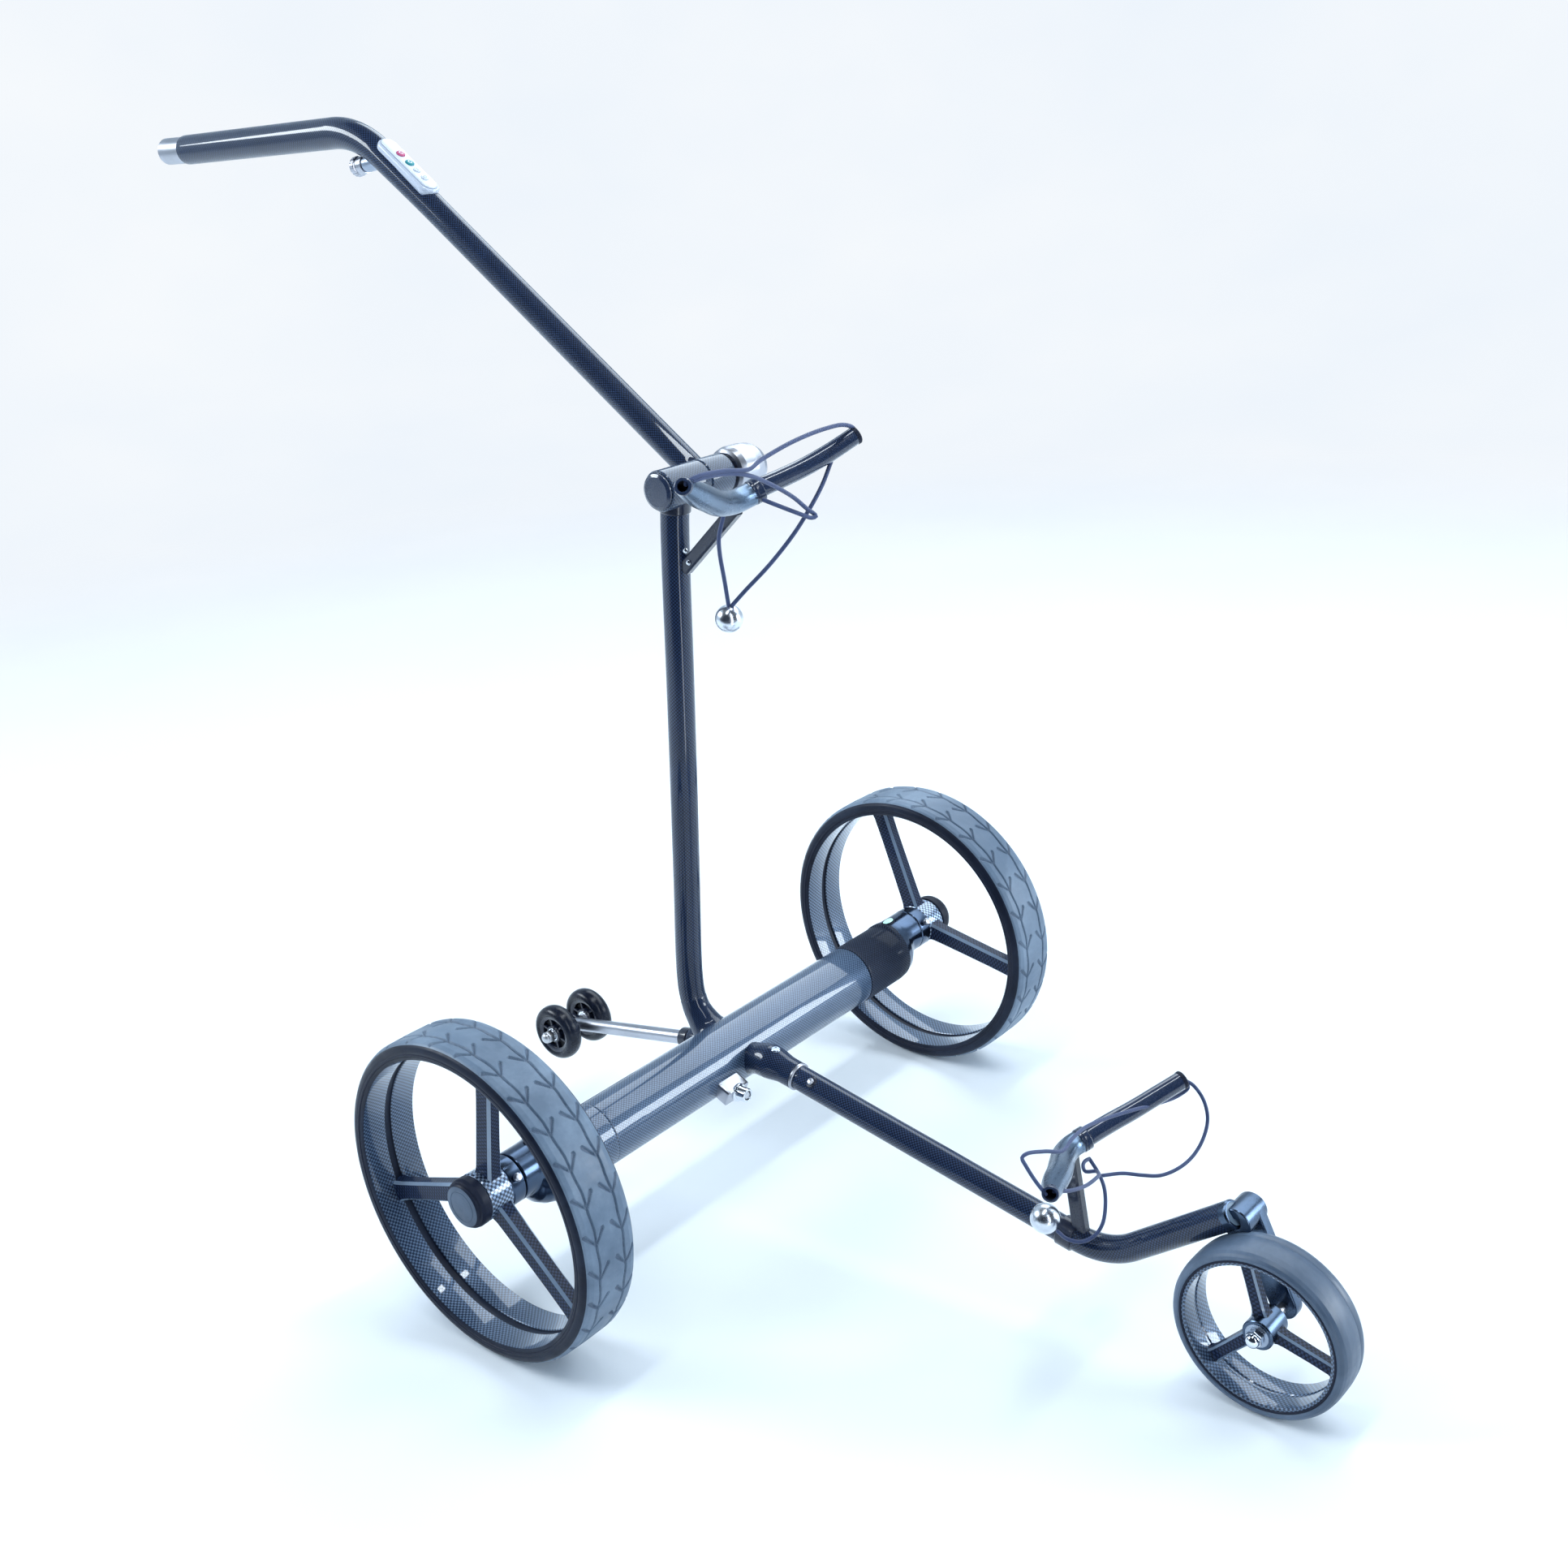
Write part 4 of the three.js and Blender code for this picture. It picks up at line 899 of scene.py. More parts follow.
# =====================================================================
# strut
# =====================================================================
STRUT_POINTS = [
    (0, -1, 671), (0, 3.3, 643), (0, 7.8, 600), (0, 15.8, 508), (0, 24.8, 411), (0, 35, 305.5),
    (0, 44.7, 203), (0, 43.6, 180), (0, 37, 161), (0, 25, 147), (0, 8, 138)]
STRUT_FOOT_POINTS = [
    (0, 43.2, 178), (0, 40, 168), (0, 34, 159), (0, 26, 150), (0, 14, 143), (0, 2, 139)]
STRUT = ("frame", "carbon", "strut")

sweep("strut_tube", curve(STRUT_POINTS, 5), 12.4, STRUT, "carbon_weave", sides=64)
# A saddle that swells from the strut into the beam.
sweep("strut_foot", curve(STRUT_FOOT_POINTS, 1.5),
      lambda t, point: (12.6 + 20 * t ** 2.3, 12.8 + 8 * t ** 1.6), STRUT, "carbon_weave",
      sides=64)
lathe("strut_collar",
      [(11.2, -1.5), (13.2, -1.5), (13.8, -0.8), (13.8, 10.6), (13.2, 11.4), (11.2, 11.4)],
      STRUT, "dark_satin", at=(0, 0.4, 661), along=(0, 2.2, -14.0), loop=True)

# =====================================================================
# anti-tip rod and wheels
# =====================================================================
TIP_AXLE = (222.6, 99.3)   # (y, z)
TIP_WHEEL_X = 21.4
TIP_NUT_X = 31.6


def on_rod(y):
    return np.array([0, y, 129.3 - (y - 63.6) * 0.1904])


rod_direction = on_rod(200) - on_rod(60)
ROD = ("antitip", "dark_satin", "antitip_rod")
lathe("antitip_boss", [(0, 0), (11.6, 0), (11.6, 35), (10.8, 36), (0, 36)],
      ("frame", "carbon", "strut", "antitip_collar"), "carbon_weave", at=on_rod(14),
      along=rod_direction, corner=0.6)
lathe("antitip_ring",
      [(7.1, 0), (9.4, 0), (10.2, 0.8), (10.2, 10.6), (9.2, 11.8), (7.1, 11.8)],
      ("frame", "silver", "antitip_collar"), "dark_satin", at=on_rod(50.8),
      along=rod_direction, loop=True)
lathe("antitip_rod_tube", [(0, 0), (6.8, 0), (6.8, 188), (6.2, 189.4), (0, 189.6)],
      ROD, "silver", at=on_rod(36), along=rod_direction, sides=48)
lathe("antitip_cross", [(0, -37.5), (4.2, -37.5), (4.2, 37.5), (0, 37.5)],
      ("antitip", "steel", "antitip_rod"), "steel", at=(0, *TIP_AXLE), sides=32, corner=0.3)
ball("antitip_knuckle", (0, *TIP_AXLE), 9.2, ROD, "dark_satin", sides=48)


def antitip_wheel(side, sign):
    centre = np.array([sign * TIP_WHEEL_X, *TIP_AXLE])
    body, node = "antitip_" + side, f"antitip_{side}_wheel"
    inside = (body, "dark_satin")
    crown = [(20.2 + 8.3 * cos(t) ** 0.8, 9.4 * sin(t)) for t in np.linspace(-1.45, 1.45, 25)]
    lathe(side + "_tip_tread", [(19.6, -7.6)] + crown + [(19.6, 7.6)], (body, "tyre", node),
          "tyre_black", at=centre, sides=96, corner=0, loop=True, sharp=50)
    lathe(side + "_tip_rim",
          [(15.6, -6.2), (19.9, -7.8, 0.5), (19.9, 7.8, 0.5), (15.6, 6.2), (16.2, 0, 0)],
          (*inside, node), "dark_satin", at=centre, sides=96, corner=0.4, loop=True)
    lathe(side + "_tip_web", [(7.6, -2.4), (16.0, -2.4), (16.0, 2.4), (7.6, 2.4)],
          inside, "hole_dark", at=centre, sides=72, corner=0.3, loop=True)
    lathe(side + "_tip_boss",
          [(6.6, -7.8), (8.6, -7.8, 0.5), (9.4, -6.0), (9.4, 6.0), (8.6, 7.8, 0.5), (6.6, 7.8)],
          inside, "dark_satin", at=centre, sides=72, corner=0.4, loop=True)
    lathe(side + "_tip_bearing", [(4.5, -8.2), (6.7, -8.2, 0.3), (6.7, 8.2, 0.3), (4.5, 8.2)],
          (body, "silver"), "chrome", at=centre, corner=0.2, loop=True)
    for k in range(6):
        out, _ = turned(pi / 3 * k + 0.3)
        bar(f"{side}_tip_rib_{k + 1}", centre + out * 8.6, centre + out * 17.0, width=12.4,
            height=2.2, role=inside, material="dark_satin", chamfer=0.5)


for side, sign in (("left", 1), ("right", -1)):
    domed_nut("antitip_nut_" + side, ("antitip", "steel", "antitip_rod"), "steel",
              (sign * TIP_NUT_X, *TIP_AXLE), (sign, 0, 0))
    antitip_wheel(side, sign)

# =====================================================================
# hinge; every piece turns on one line along X
# =====================================================================
HINGE = (0, -1.1, 670.7)

lathe("hinge_barrel",
      [(6, -19.8), (16.6, -19.8, 0.9), (17.5, -18.6, 0.6), (17.5, 26.2, 0.6),
       (16.8, 27.6, 0.6), (6, 27.6)],
      ("frame", "carbon", "hinge_fixed_knuckle"), "carbon_lit", at=HINGE, sides=96,
      corner=0.8, loop=True)
lathe("hinge_cap",
      [(0, -23.4), (12.5, -23.4, 1.2), (15.6, -22.0, 0.8), (15.6, -20.1, 0.3), (0, -20.1)],
      ("frame", "silver", "hinge_end_cap"), "arm_dark", at=HINGE, sides=96, corner=0.6)
lathe("hinge_swivel",
      [(6, 28.0), (16.6, 28.0, 0.9), (17.6, 29.2, 0.6), (17.6, 56.6, 0.7),
       (16.6, 57.8, 0.6), (6, 57.8)],
      ("handle", "carbon", "hinge_moving_knuckle"), "carbon_lit", at=HINGE, sides=96,
      corner=0.8, loop=True)
lathe("hinge_washer",
      [(6, 57.4), (14.6, 57.4), (14.6, 61.4), (14.0, 62.0), (6, 62.0)],
      ("handle", "carbon", "hinge_moving_knuckle"), "dark_satin", at=HINGE, corner=0.4,
      loop=True)
lathe("clamp_dome",
      [(6, 62.3), (17, 62.3, 0.5), (20, 64.2, 1), (21.4, 69.5, 2), (21.3, 77, 2),
       (21.2, 84, 2), (20, 93, 4), (16.6, 99.4, 4), (10, 103.3, 4), (0, 104.0)],
      ("clamp", "silver", "clamp_knob"), "silver", at=HINGE, sides=128, corner=2, sharp=50)

# =====================================================================
# upper brace and cradle
# =====================================================================
CRADLE_BORE = 4.4
CRADLE_FAR_RADIUS = 7.8
UPPER_NEAR = [
    (-104.4, -112.7, 700), (-82, -102.6, 689.6), (-60, -93.5, 680), (-40, -85.6, 671.6),
    (-22, -79.6, 667.4), (-10, -77.2, 666.2), (0, -76.8, 666.8), (9, -78, 668.4)]
UPPER_FAR = [
    (16.6, -81.6, 671.8), (19, -82.6, 672.8), (38, -87.4, 676.4), (60, -93.5, 681.4),
    (82, -102.8, 689.7), (104.4, -112.7, 700)]


def cradle(tag, body, near, far, near_radius, ring_start, ring_end, ring_radius, ring_length):
    """Two arms joined by a ring; near lies toward -X and has a bored tip."""
    near_node, far_node = f"{tag}_cradle", f"{tag}_cradle_arm"
    path = curve(near)
    heading = unit(path[1] - path[0])

    def near_widths(t, point):
        grow = 0.70 + 0.30 * sin(min(1.0, t / 0.34) * pi / 2)
        swell = 1.0 + 0.06 * sin(pi * t)
        return near_radius * 0.98 * grow * swell, near_radius * 1.04 * grow * swell

    def near_slot(centre):
        offset = centre - path[0]
        distance = np.linalg.norm(offset)
        off_axis = np.linalg.norm(offset - heading * (offset @ heading))
        # Slot 1, hole_dark, paints the inside of the bore near-black as painted shade; slot 2 is
        # a darker ring round its mouth.
        if (off_axis < CRADLE_BORE * 0.97 and distance < CRADLE_BORE * 1.02 + 14.5
                and abs(offset[0]) < 15):
            return 1
        return 2 if distance < CRADLE_BORE * 1.7 else 0

    sweep(tag + "_arm_near", path, near_widths, (body, "carbon", near_node),
          ["arm_paint", "hole_dark", "arm_dark"], sides=56, ends=("bore", "flat"),
          across=(0, 0, 1), bore=CRADLE_BORE, paint=near_slot)
    ring = [
        (2, -0.6), (ring_radius - 0.4, -0.6), (ring_radius, 0), (ring_radius, 1.8, 0.2),
        (ring_radius - 0.5, 2.2, 0.1), (ring_radius, 2.6, 0.2),
        (ring_radius, ring_length - 0.6), (ring_radius - 0.6, ring_length), (2, ring_length)]
    lathe(tag + "_ring", ring, (body, "dark_satin", near_node), "arm_dark", at=ring_start,
          along=np.subtract(ring_end, ring_start), sides=72, corner=0.3, loop=True)
    path_far = curve(far, 3.0)
    size = CRADLE_FAR_RADIUS
    sweep(tag + "_arm_far", path_far, lambda t, point: size * (1.06 - 0.08 * t),
          (body, "carbon", far_node), "arm_dark", sides=56, across=(0, 0, 1))
    tip = [(0, -1), (size * 0.99, -1), (size * 1.02, 0), (size * 1.02, 2.2),
           (size * 0.9, 3.2), (0, 3.4)]
    lathe(tag + "_far_tip", tip, (body, "dark_satin", far_node), "dark_cap",
          at=path_far[-1], along=path_far[-1] - path_far[-2], sides=56)


bar("upper_brace_bar", (0, -4, 601), (0, -68, 657), width=9.5, height=11.5,
    role=("frame", "dark_satin", "upper_brace"), material="dark_satin", chamfer=1.6)
for k, (y, z) in enumerate(((-10.5, 618), (-12.6, 608))):
    lathe(f"brace_screw_{k + 1}", [(0, 0), (2.6, 0), (2.6, 1.0), (1.4, 2.0), (0, 2.2)],
          ("frame", "steel"), "chrome", at=(-4.6, y, z), along=(-1, 0, 0), sides=24,
          corner=0.3)
cradle("upper", "frame", UPPER_NEAR, UPPER_FAR, near_radius=10,
       ring_start=(9.4, -78.4, 668.8), ring_end=(17.6, -82, 672.2), ring_radius=10.7,
       ring_length=8.4)
ball("upper_ball", (0, -49, 562), 12, ("frame", "chrome", "upper_cord_ball"), "ball_chrome")

# =====================================================================
# front lug and lock
# =====================================================================
FRONT_DIRECTION = unit([0, -1, -0.2])
LUG_POINTS = [
    (0, -16, 132), (0, -26, 134.2), (0, -38, 136.6), (0, -50, 137.4), (0, -62, 135.8),
    (0, -71, 133.9), (0, -80, 132.1)]
# (distance toward -Y, radius)
LUG_RADII = np.array([
    (16, 17.5), (24, 15.6), (31, 14.6), (37, 14.9), (42, 15.6), (50, 16.2), (56, 15.6),
    (62, 14.3), (68, 13.3), (80, 13.1)])


def on_front(y):
    return np.array([0, y, 106.7 + 0.2 * (y + 207)])


sweep("front_socket", curve(LUG_POINTS, 1.2),
      lambda t, point: float(np.interp(-point[1], LUG_RADII[:, 0], LUG_RADII[:, 1])),
      ("frame", "carbon", "front_lug"), "carbon_weave", sides=72)
lathe("front_collar_ring",
      [(11.0, 0), (12.7, 0), (13.3, 0.6), (13.3, 2.8), (12.6, 3.4), (11.0, 3.4)],
      ("front_arm", "silver", "front_tube"), "silver", at=on_front(-80.9),
      along=FRONT_DIRECTION, sides=72, corner=0.3, loop=True)
lathe("lug_plug",
      [(0, 0), (4.4, 0), (4.4, 2.2), (3.8, 3.0), (2.0, 3.2), (1.6, 2.6), (0, 2.6)],
      ("frame", "dark_satin", "front_lug"), "silver_dark", at=(0, -57, 150.2),
      along=(0, -0.12, 1), sides=32, corner=0.2)

LOCK = ("frame", "dark_satin", "lock_block")
lock_lean = np.array([0, -0.9, -0.435])
lock_normal = unit(lock_lean)
lock_centre = np.array([-35, 0, BEAM_Z]) + lock_lean * 34.5 + np.array([-3.0, 0, 3.0])
lock_outline = round_corners([(-14, -8.5), (14, -8.5), (14, 8.5), (-14, 8.5)], radius=3.0,
                             steps=5, closed=True)
prism("lock_body", lock_outline, -12, 9.5,
      (lock_centre, X_AXIS, np.cross(X_AXIS, lock_normal), lock_normal), LOCK, "silver",
      bevel=1.6)
lathe("lock_barrel",
      [(4.4, 0), (6.5, 0), (6.5, 6), (8.4, 6.2, 0.4), (8.6, 9.0, 0.6), (6.6, 9.6, 0.3),
       (6.6, 18.4), (6.0, 19.2), (4.4, 19.2)],
      LOCK, "chrome", at=(-38, -34, 121), along=(0, -1, 0), sides=48, corner=0.3, loop=True)
lathe("plunger_pin", [(0, 0), (3.9, 0), (3.9, 7.6), (3.2, 8.8), (0, 9.1)],
      ("plunger", "steel", "lock_plunger"), "steel", at=(-38, -43.5, 121), along=(0, -1, 0),
      sides=32, corner=0.4)

# =====================================================================
# front tube, lower post and lower cradle
# =====================================================================
FRONT_CORNER = (-406.4, 66.8)   # (y, z)
FRONT_END = (-513, 145)
LOWER_NEAR = [
    (-98.9, -418, 184), (-78, -407.6, 177.6), (-56, -398, 171.5), (-38, -388.6, 165.8),
    (-22, -380, 161), (-10, -375.8, 159.1), (0, -375, 159), (7, -376.6, 159.7)]
LOWER_FAR = [
    (14.5, -380.4, 162.2), (16, -381, 162.6), (36, -388.6, 166.6), (56, -398, 171.5),
    (78, -408.3, 177.9), (98.9, -418, 184)]

front_path = bent(0, on_front(-84.2)[1:], FRONT_CORNER, FRONT_END, radius=68, steps=24, step=8)
sweep("front_beam", front_path, 11.5, ("front_arm", "carbon", "front_tube"), "carbon_weave",
      sides=64)
lathe("front_cap_shell",
      [(0, -1), (11.2, -1), (11.5, -0.4, 0.2), (11.5, 5.6, 0.8), (10.4, 6.8, 0.5),
       (9.2, 7.0, 0.3), (8.9, 6.5, 0.2), (0, 6.5)],
      ("front_arm", "dark_satin", "front_tube_cap"), ["fork_paint", "speckle_cap"],
      at=(0, *FRONT_END), along=(0, *np.subtract(FRONT_END, FRONT_CORNER)), sides=72,
      corner=0.3, paint=lambda r, x: x > 6 and r < 9.1)
snap_direction = (-0.62, 0.02, 0.78)
lathe("snap_seat", [(0, 7), (5.4, 7), (5.4, 10.9), (4.8, 11.4), (0, 11.4)],
      ("front_arm", "dark_satin", "front_tube"), "dark_satin", at=on_front(-104),
      along=snap_direction, sides=36, corner=0.3)
lathe("snap_stud", [(0, 9), (3.2, 9), (3.2, 12.8), (2.4, 13.9), (0, 14.2)],
      ("snap", "silver", "snap_button"), "silver", at=on_front(-104), along=snap_direction,
      sides=36, corner=0.6)

LOWER_POST = ("front_arm", "dark_satin", "lower_post")
post_lean = atan2(9, 70)
post_direction = np.array([0, sin(post_lean), cos(post_lean)])
post_centre = np.array([0, -377, 115])
bar("lower_post_bar", post_centre - post_direction * 36, post_centre + post_direction * 37,
    width=9.2, height=13, role=LOWER_POST, material="dark_satin", chamfer=1.6)
lathe("post_clamp",
      [(10.2, 0), (12.4, 0), (13.1, 0.7), (13.1, 13.4), (12.4, 14.1), (10.2, 14.1)],
      LOWER_POST, "dark_satin", at=on_front(-363), along=FRONT_DIRECTION, corner=0.4,
      loop=True)
cradle("lower", "front_arm", LOWER_NEAR, LOWER_FAR, near_radius=9.3,
       ring_start=(7.6, -377, 160), ring_end=(16, -381, 162.6), ring_radius=10.1,
       ring_length=7.4)
ball("lower_ball", (-30, -366.7, 104.1), 12.5, ("front_arm", "chrome", "lower_cord_ball"),
     "ball_chrome")

# =====================================================================
# fork link: a tapered slab with round ends, and the bolt at its foot
# =====================================================================
FORK_TOP = np.array([0, -520.5, 142.5])
FRONT_AXLE = np.array([0, -553.4, 71.7])
FORK = ("front_arm", "carbon", "fork_arm")
BOLT = ("front_arm", "chrome", "front_axle_bolt")

fork_length = np.linalg.norm(FRONT_AXLE - FORK_TOP)
fork_direction = unit(FRONT_AXLE - FORK_TOP)
prism("fork_plate", stadium(fork_length, 12.6, 11.4, 28), 11.4, 22.4,
      (FORK_TOP, fork_direction, np.cross(X_AXIS, fork_direction), X_AXIS), FORK,
      "fork_paint", bevel=1.6, steps=4)
lathe("fork_boss",
      [(4.4, -4.2), (11.8, -4.2, 0.7), (12.6, -3.2), (12.6, 24.6), (11.8, 25.6), (4.4, 25.6)],
      FORK, "fork_paint", at=FORK_TOP, sides=72, corner=0.6, loop=True)
domed_nut("axle_bolt_near", BOLT, "chrome", (-32.0, *FRONT_AXLE[1:]), (-1, 0, 0),
          radius=6.8, dome=5.8)
domed_nut("axle_bolt_far", BOLT, "chrome", (25.2, *FRONT_AXLE[1:]), (1, 0, 0),
          radius=6.8, height=5.2, dome=4.6)
lathe("axle_bolt_shank", [(0, -32), (4.2, -32), (4.2, 25.4), (0, 25.4)], BOLT, "steel",
      at=FRONT_AXLE, sides=32, corner=0.2)

# =====================================================================
# front wheel
# =====================================================================
FRONT_CENTRE = np.array([-16, *FRONT_AXLE[1:]])
FRONT_WHEEL = ("front_wheel_set", "carbon", "front_wheel")
FRONT_TREAD = [
    (63.3, -17.4), (65.4, -18.9, 1), (67.6, -18.6, 1.5), (69.6, -16.9, 2), (70.9, -14.0, 3),
    (71.6, -8.5, 4), (71.75, 0, 0), (71.62, 7.2, 0), (71.42, 7.5, 0), (71.58, 7.8, 0),
    (70.9, 14.0, 3), (69.6, 16.9, 2), (67.6, 18.6, 1.5), (65.4, 18.9, 1), (63.3, 17.4)]
FRONT_HOOP = [
    (59.5, -17.2), (61.6, -17.8, 0.6), (63.1, -17.2, 0.4), (63.1, 17.2, 0.4),
    (61.6, 17.8, 0.6), (59.5, 17.2), (59.5, 2.2, 0.4), (60.4, 1.2, 0.3), (60.4, -1.2, 0.3),
    (59.5, -2.2, 0.4)]
# (radius, width along X, height)
FRONT_SPOKE_STATIONS = [
    (10.5, 12, 14), (13.5, 10.6, 12), (18, 10, 11.2), (40, 9.6, 10.6), (55, 9.8, 10.8),
    (58, 10.8, 11.8), (60.2, 12.6, 14)]

lathe("front_tread", FRONT_TREAD, ("front_wheel_set", "tyre", "front_tyre"), "tyre_small",
      at=FRONT_CENTRE, sides=192, corner=1.5, loop=True, sharp=60)
lathe("front_rim_hoop", FRONT_HOOP, FRONT_WHEEL, "carbon_rim", at=FRONT_CENTRE, sides=160,
      corner=0.4, steps=2, loop=True, sharp=50)
lathe("front_rim_bead_near", oval_section(63.2, -17.7, 1.0, 0.8, 10),
      ("front_wheel_set", "tyre"), "dark_cap", at=FRONT_CENTRE, sides=128, corner=0, loop=True)
lathe("front_hub_barrel",
      [(4.5, -15.2), (11.6, -15.2, 0.8), (12.6, -14.2, 0.6), (12.6, 10.2, 0.6),
       (11.6, 11.2, 0.8), (4.5, 11.2)],
      FRONT_WHEEL, "fork_paint", at=FRONT_CENTRE, sides=72, corner=0.6, loop=True)
lathe("front_hub_face", [(4.4, -15.6), (9.6, -15.6), (9.6, -15.0), (4.4, -15.0)],
      FRONT_WHEEL, "silver_dark", at=FRONT_CENTRE, sides=48, corner=0.1, loop=True)
for k in range(3):
    spoke(f"front_spoke_{k + 1}", FRONT_CENTRE - X_AXIS * 1.5, radians(74 + 120 * k),
          FRONT_SPOKE_STATIONS, chamfer=1.5, girth=40, role=FRONT_WHEEL)

# =====================================================================
# handle
# =====================================================================
HANDLE_X = 38
HANDLE_COS, HANDLE_SIN = 0.80178, 0.59763
HANDLE_CORNER = (405, 971.5)   # (y, z)
HANDLE_END = (693.6, 967.6)
handle_along = np.array([0, HANDLE_COS, HANDLE_SIN])
handle_normal = np.array([0, -HANDLE_SIN, HANDLE_COS])

foot_step, start_step = 6 * HANDLE_COS, 11.8
foot_z = 793.8 - (171.1 - foot_step) * HANDLE_SIN / HANDLE_COS
handle_start = (HINGE[1] + foot_step + start_step * HANDLE_COS,
                foot_z + start_step * HANDLE_SIN)
sweep("handle_shaft",
      bent(HANDLE_X, handle_start, HANDLE_CORNER, HANDLE_END, radius=112, steps=40, step=8),
      lambda t, point: 12.0 + 2.5 * smooth((point[1] - 300) / 140),
      ("handle", "carbon", "handle_tube"), "carbon_weave", sides=72)

# =====================================================================
# control panel on the handle
# =====================================================================
POD_PLACE = 221
PANEL = ("handle", "gloss_black", "control_panel")
# name, distance from the upper end of the pod, radius, material and slot,
# mark, inner and outer radius of a ring mark, material of the mark
BUTTONS = [
    ("power", 27, 4.2, "button_red", "power_glyph", (1.5, 2.1), "glyph"),
    ("go", 41, 4.2, "button_green", "go_glyph", (1.5, 2.1), "glyph"),
    ("minus", 52, 3.4, "button_grey", "minus_mark", None, "silver_dark"),
    ("plus", 64, 3.4, "button_grey", "plus_mark", (1.2, 1.7), "silver_dark")]
MARK_BOTTOM, MARK_TOP = 19.8, 20.34
WELL_CLEARANCE = 0.18
WELL_SIDES = 40


def on_handle(distance):
    return np.array([HANDLE_X, 170, 793]) + distance * handle_along


def pod_slab(name, length, width, bottom, top, material, **edges):
    outline = [(x - (length - width) / 2, y)
               for x, y in stadium(length - width, width / 2, width / 2, 22)]
    basis = (on_handle(POD_PLACE), handle_along, X_AXIS, handle_normal)
    return prism(name, outline, bottom, top, basis, PANEL, material, **edges)


def button(name, centre, radius, material, mark, mark_radii, mark_material):
    role = (name, material, name + "_button")
    lathe(name + "_cap",
          [(0, 17.7), (radius, 17.7), (radius, 19.2), (radius - 0.7, 20.0, 0.5), (0, 20.2)],
          role, material, at=centre, along=handle_normal, sides=40, corner=0.3)
    if mark_radii:
        inner, outer = mark_radii
        lathe(mark, [(inner, MARK_BOTTOM), (outer, MARK_BOTTOM), (outer, MARK_TOP),
                     (inner, MARK_TOP)],
              role, mark_material, at=centre, along=handle_normal, sides=32, corner=0,
              loop=True)
    else:
        prism(mark, [(-2.0, -0.35), (2.0, -0.35), (2.0, 0.35), (-2.0, 0.35)], MARK_BOTTOM,
              MARK_TOP, (centre, handle_along, X_AXIS, handle_normal), role, mark_material,
              bevel=0.0)


def well_cutter(wells):
    """One object with a cylinder for each (centre, radius)."""
    verts, faces, n = [], [], WELL_SIDES
    for centre, radius in wells:
        base = len(verts)
        for height in (15.0, 21.0):
            for k in range(n):
                turn = 2 * pi * k / n
                point = (centre + handle_normal * height
                         + handle_along * (radius * cos(turn)) + X_AXIS * (radius * sin(turn)))
                verts.append(tuple(point * MM))
        faces.append(tuple(base + k for k in range(n)))
        faces.append(tuple(base + n + k for k in range(n))[::-1])
        faces += [(base + k, base + n + k, base + n + (k + 1) % n, base + (k + 1) % n)
                  for k in range(n)]
    mesh = bpy.data.meshes.new("well_tmp")
    mesh.from_pydata(verts, [], faces)
    cutter = bpy.data.objects.new("well_tmp", mesh)
    bpy.context.scene.collection.objects.link(cutter)
    return cutter


def cut_wells(parts, wells):
    """Give every button a well of its own, so that it can be pressed."""
    cutter = well_cutter(wells)
    for part in parts:
        stand_in = bpy.data.objects.new("pod_tmp", part.data)
        bpy.context.scene.collection.objects.link(stand_in)
        cut = stand_in.modifiers.new("wells", "BOOLEAN")
        cut.operation = "DIFFERENCE"
        cut.solver = "EXACT"
        cut.object = cutter
        depsgraph = bpy.context.evaluated_depsgraph_get()
        mesh = bpy.data.meshes.new_from_object(stand_in.evaluated_get(depsgraph))
        bpy.data.objects.remove(stand_in)
        # A cut that failed adds no faces; the part then stays whole.
        if len(mesh.polygons) > len(part.data.polygons):
            mesh.name = part.data.name
            mesh.set_sharp_from_angle(angle=radians(38))
            part.data = mesh
    bpy.data.objects.remove(cutter)


pod_slab("pod_saddle", 84, 19.5, 3.5, 11.4, "pod_rim", bevel=1.0)
pod_parts = [
    pod_slab("pod_body", 81.6, 20.4, 10.6, 17.2, "pod_shell", bevel=2.6, steps=6,
             bottom_bevel=1.0),
    pod_slab("pod_line", 77.4, 16.4, 16.2, 17.45, "pod_rim", bevel=0.2, steps=1),
    pod_slab("pod_top", 76.0, 15.0, 16.2, 18.6, "pod_face", bevel=0.9, steps=4)]
wells = []
for name, distance, radius, *look in BUTTONS:
    centre = on_handle(POD_PLACE + 40.5 - distance)
    wells.append((centre, radius + WELL_CLEARANCE))
    button(name, centre, radius, *look)
cut_wells(pod_parts, wells)

# =====================================================================
# thumb knob and speed dial
# =====================================================================
THUMB_Y = 399.6
KNOB_DIRECTION = unit([0, 1, -0.11])
DIAL_AT = (HANDLE_X, 693.9, 967.6)


def on_knob(y):
    return np.array([HANDLE_X, y, 944.2 - 0.11 * (y - 372)])


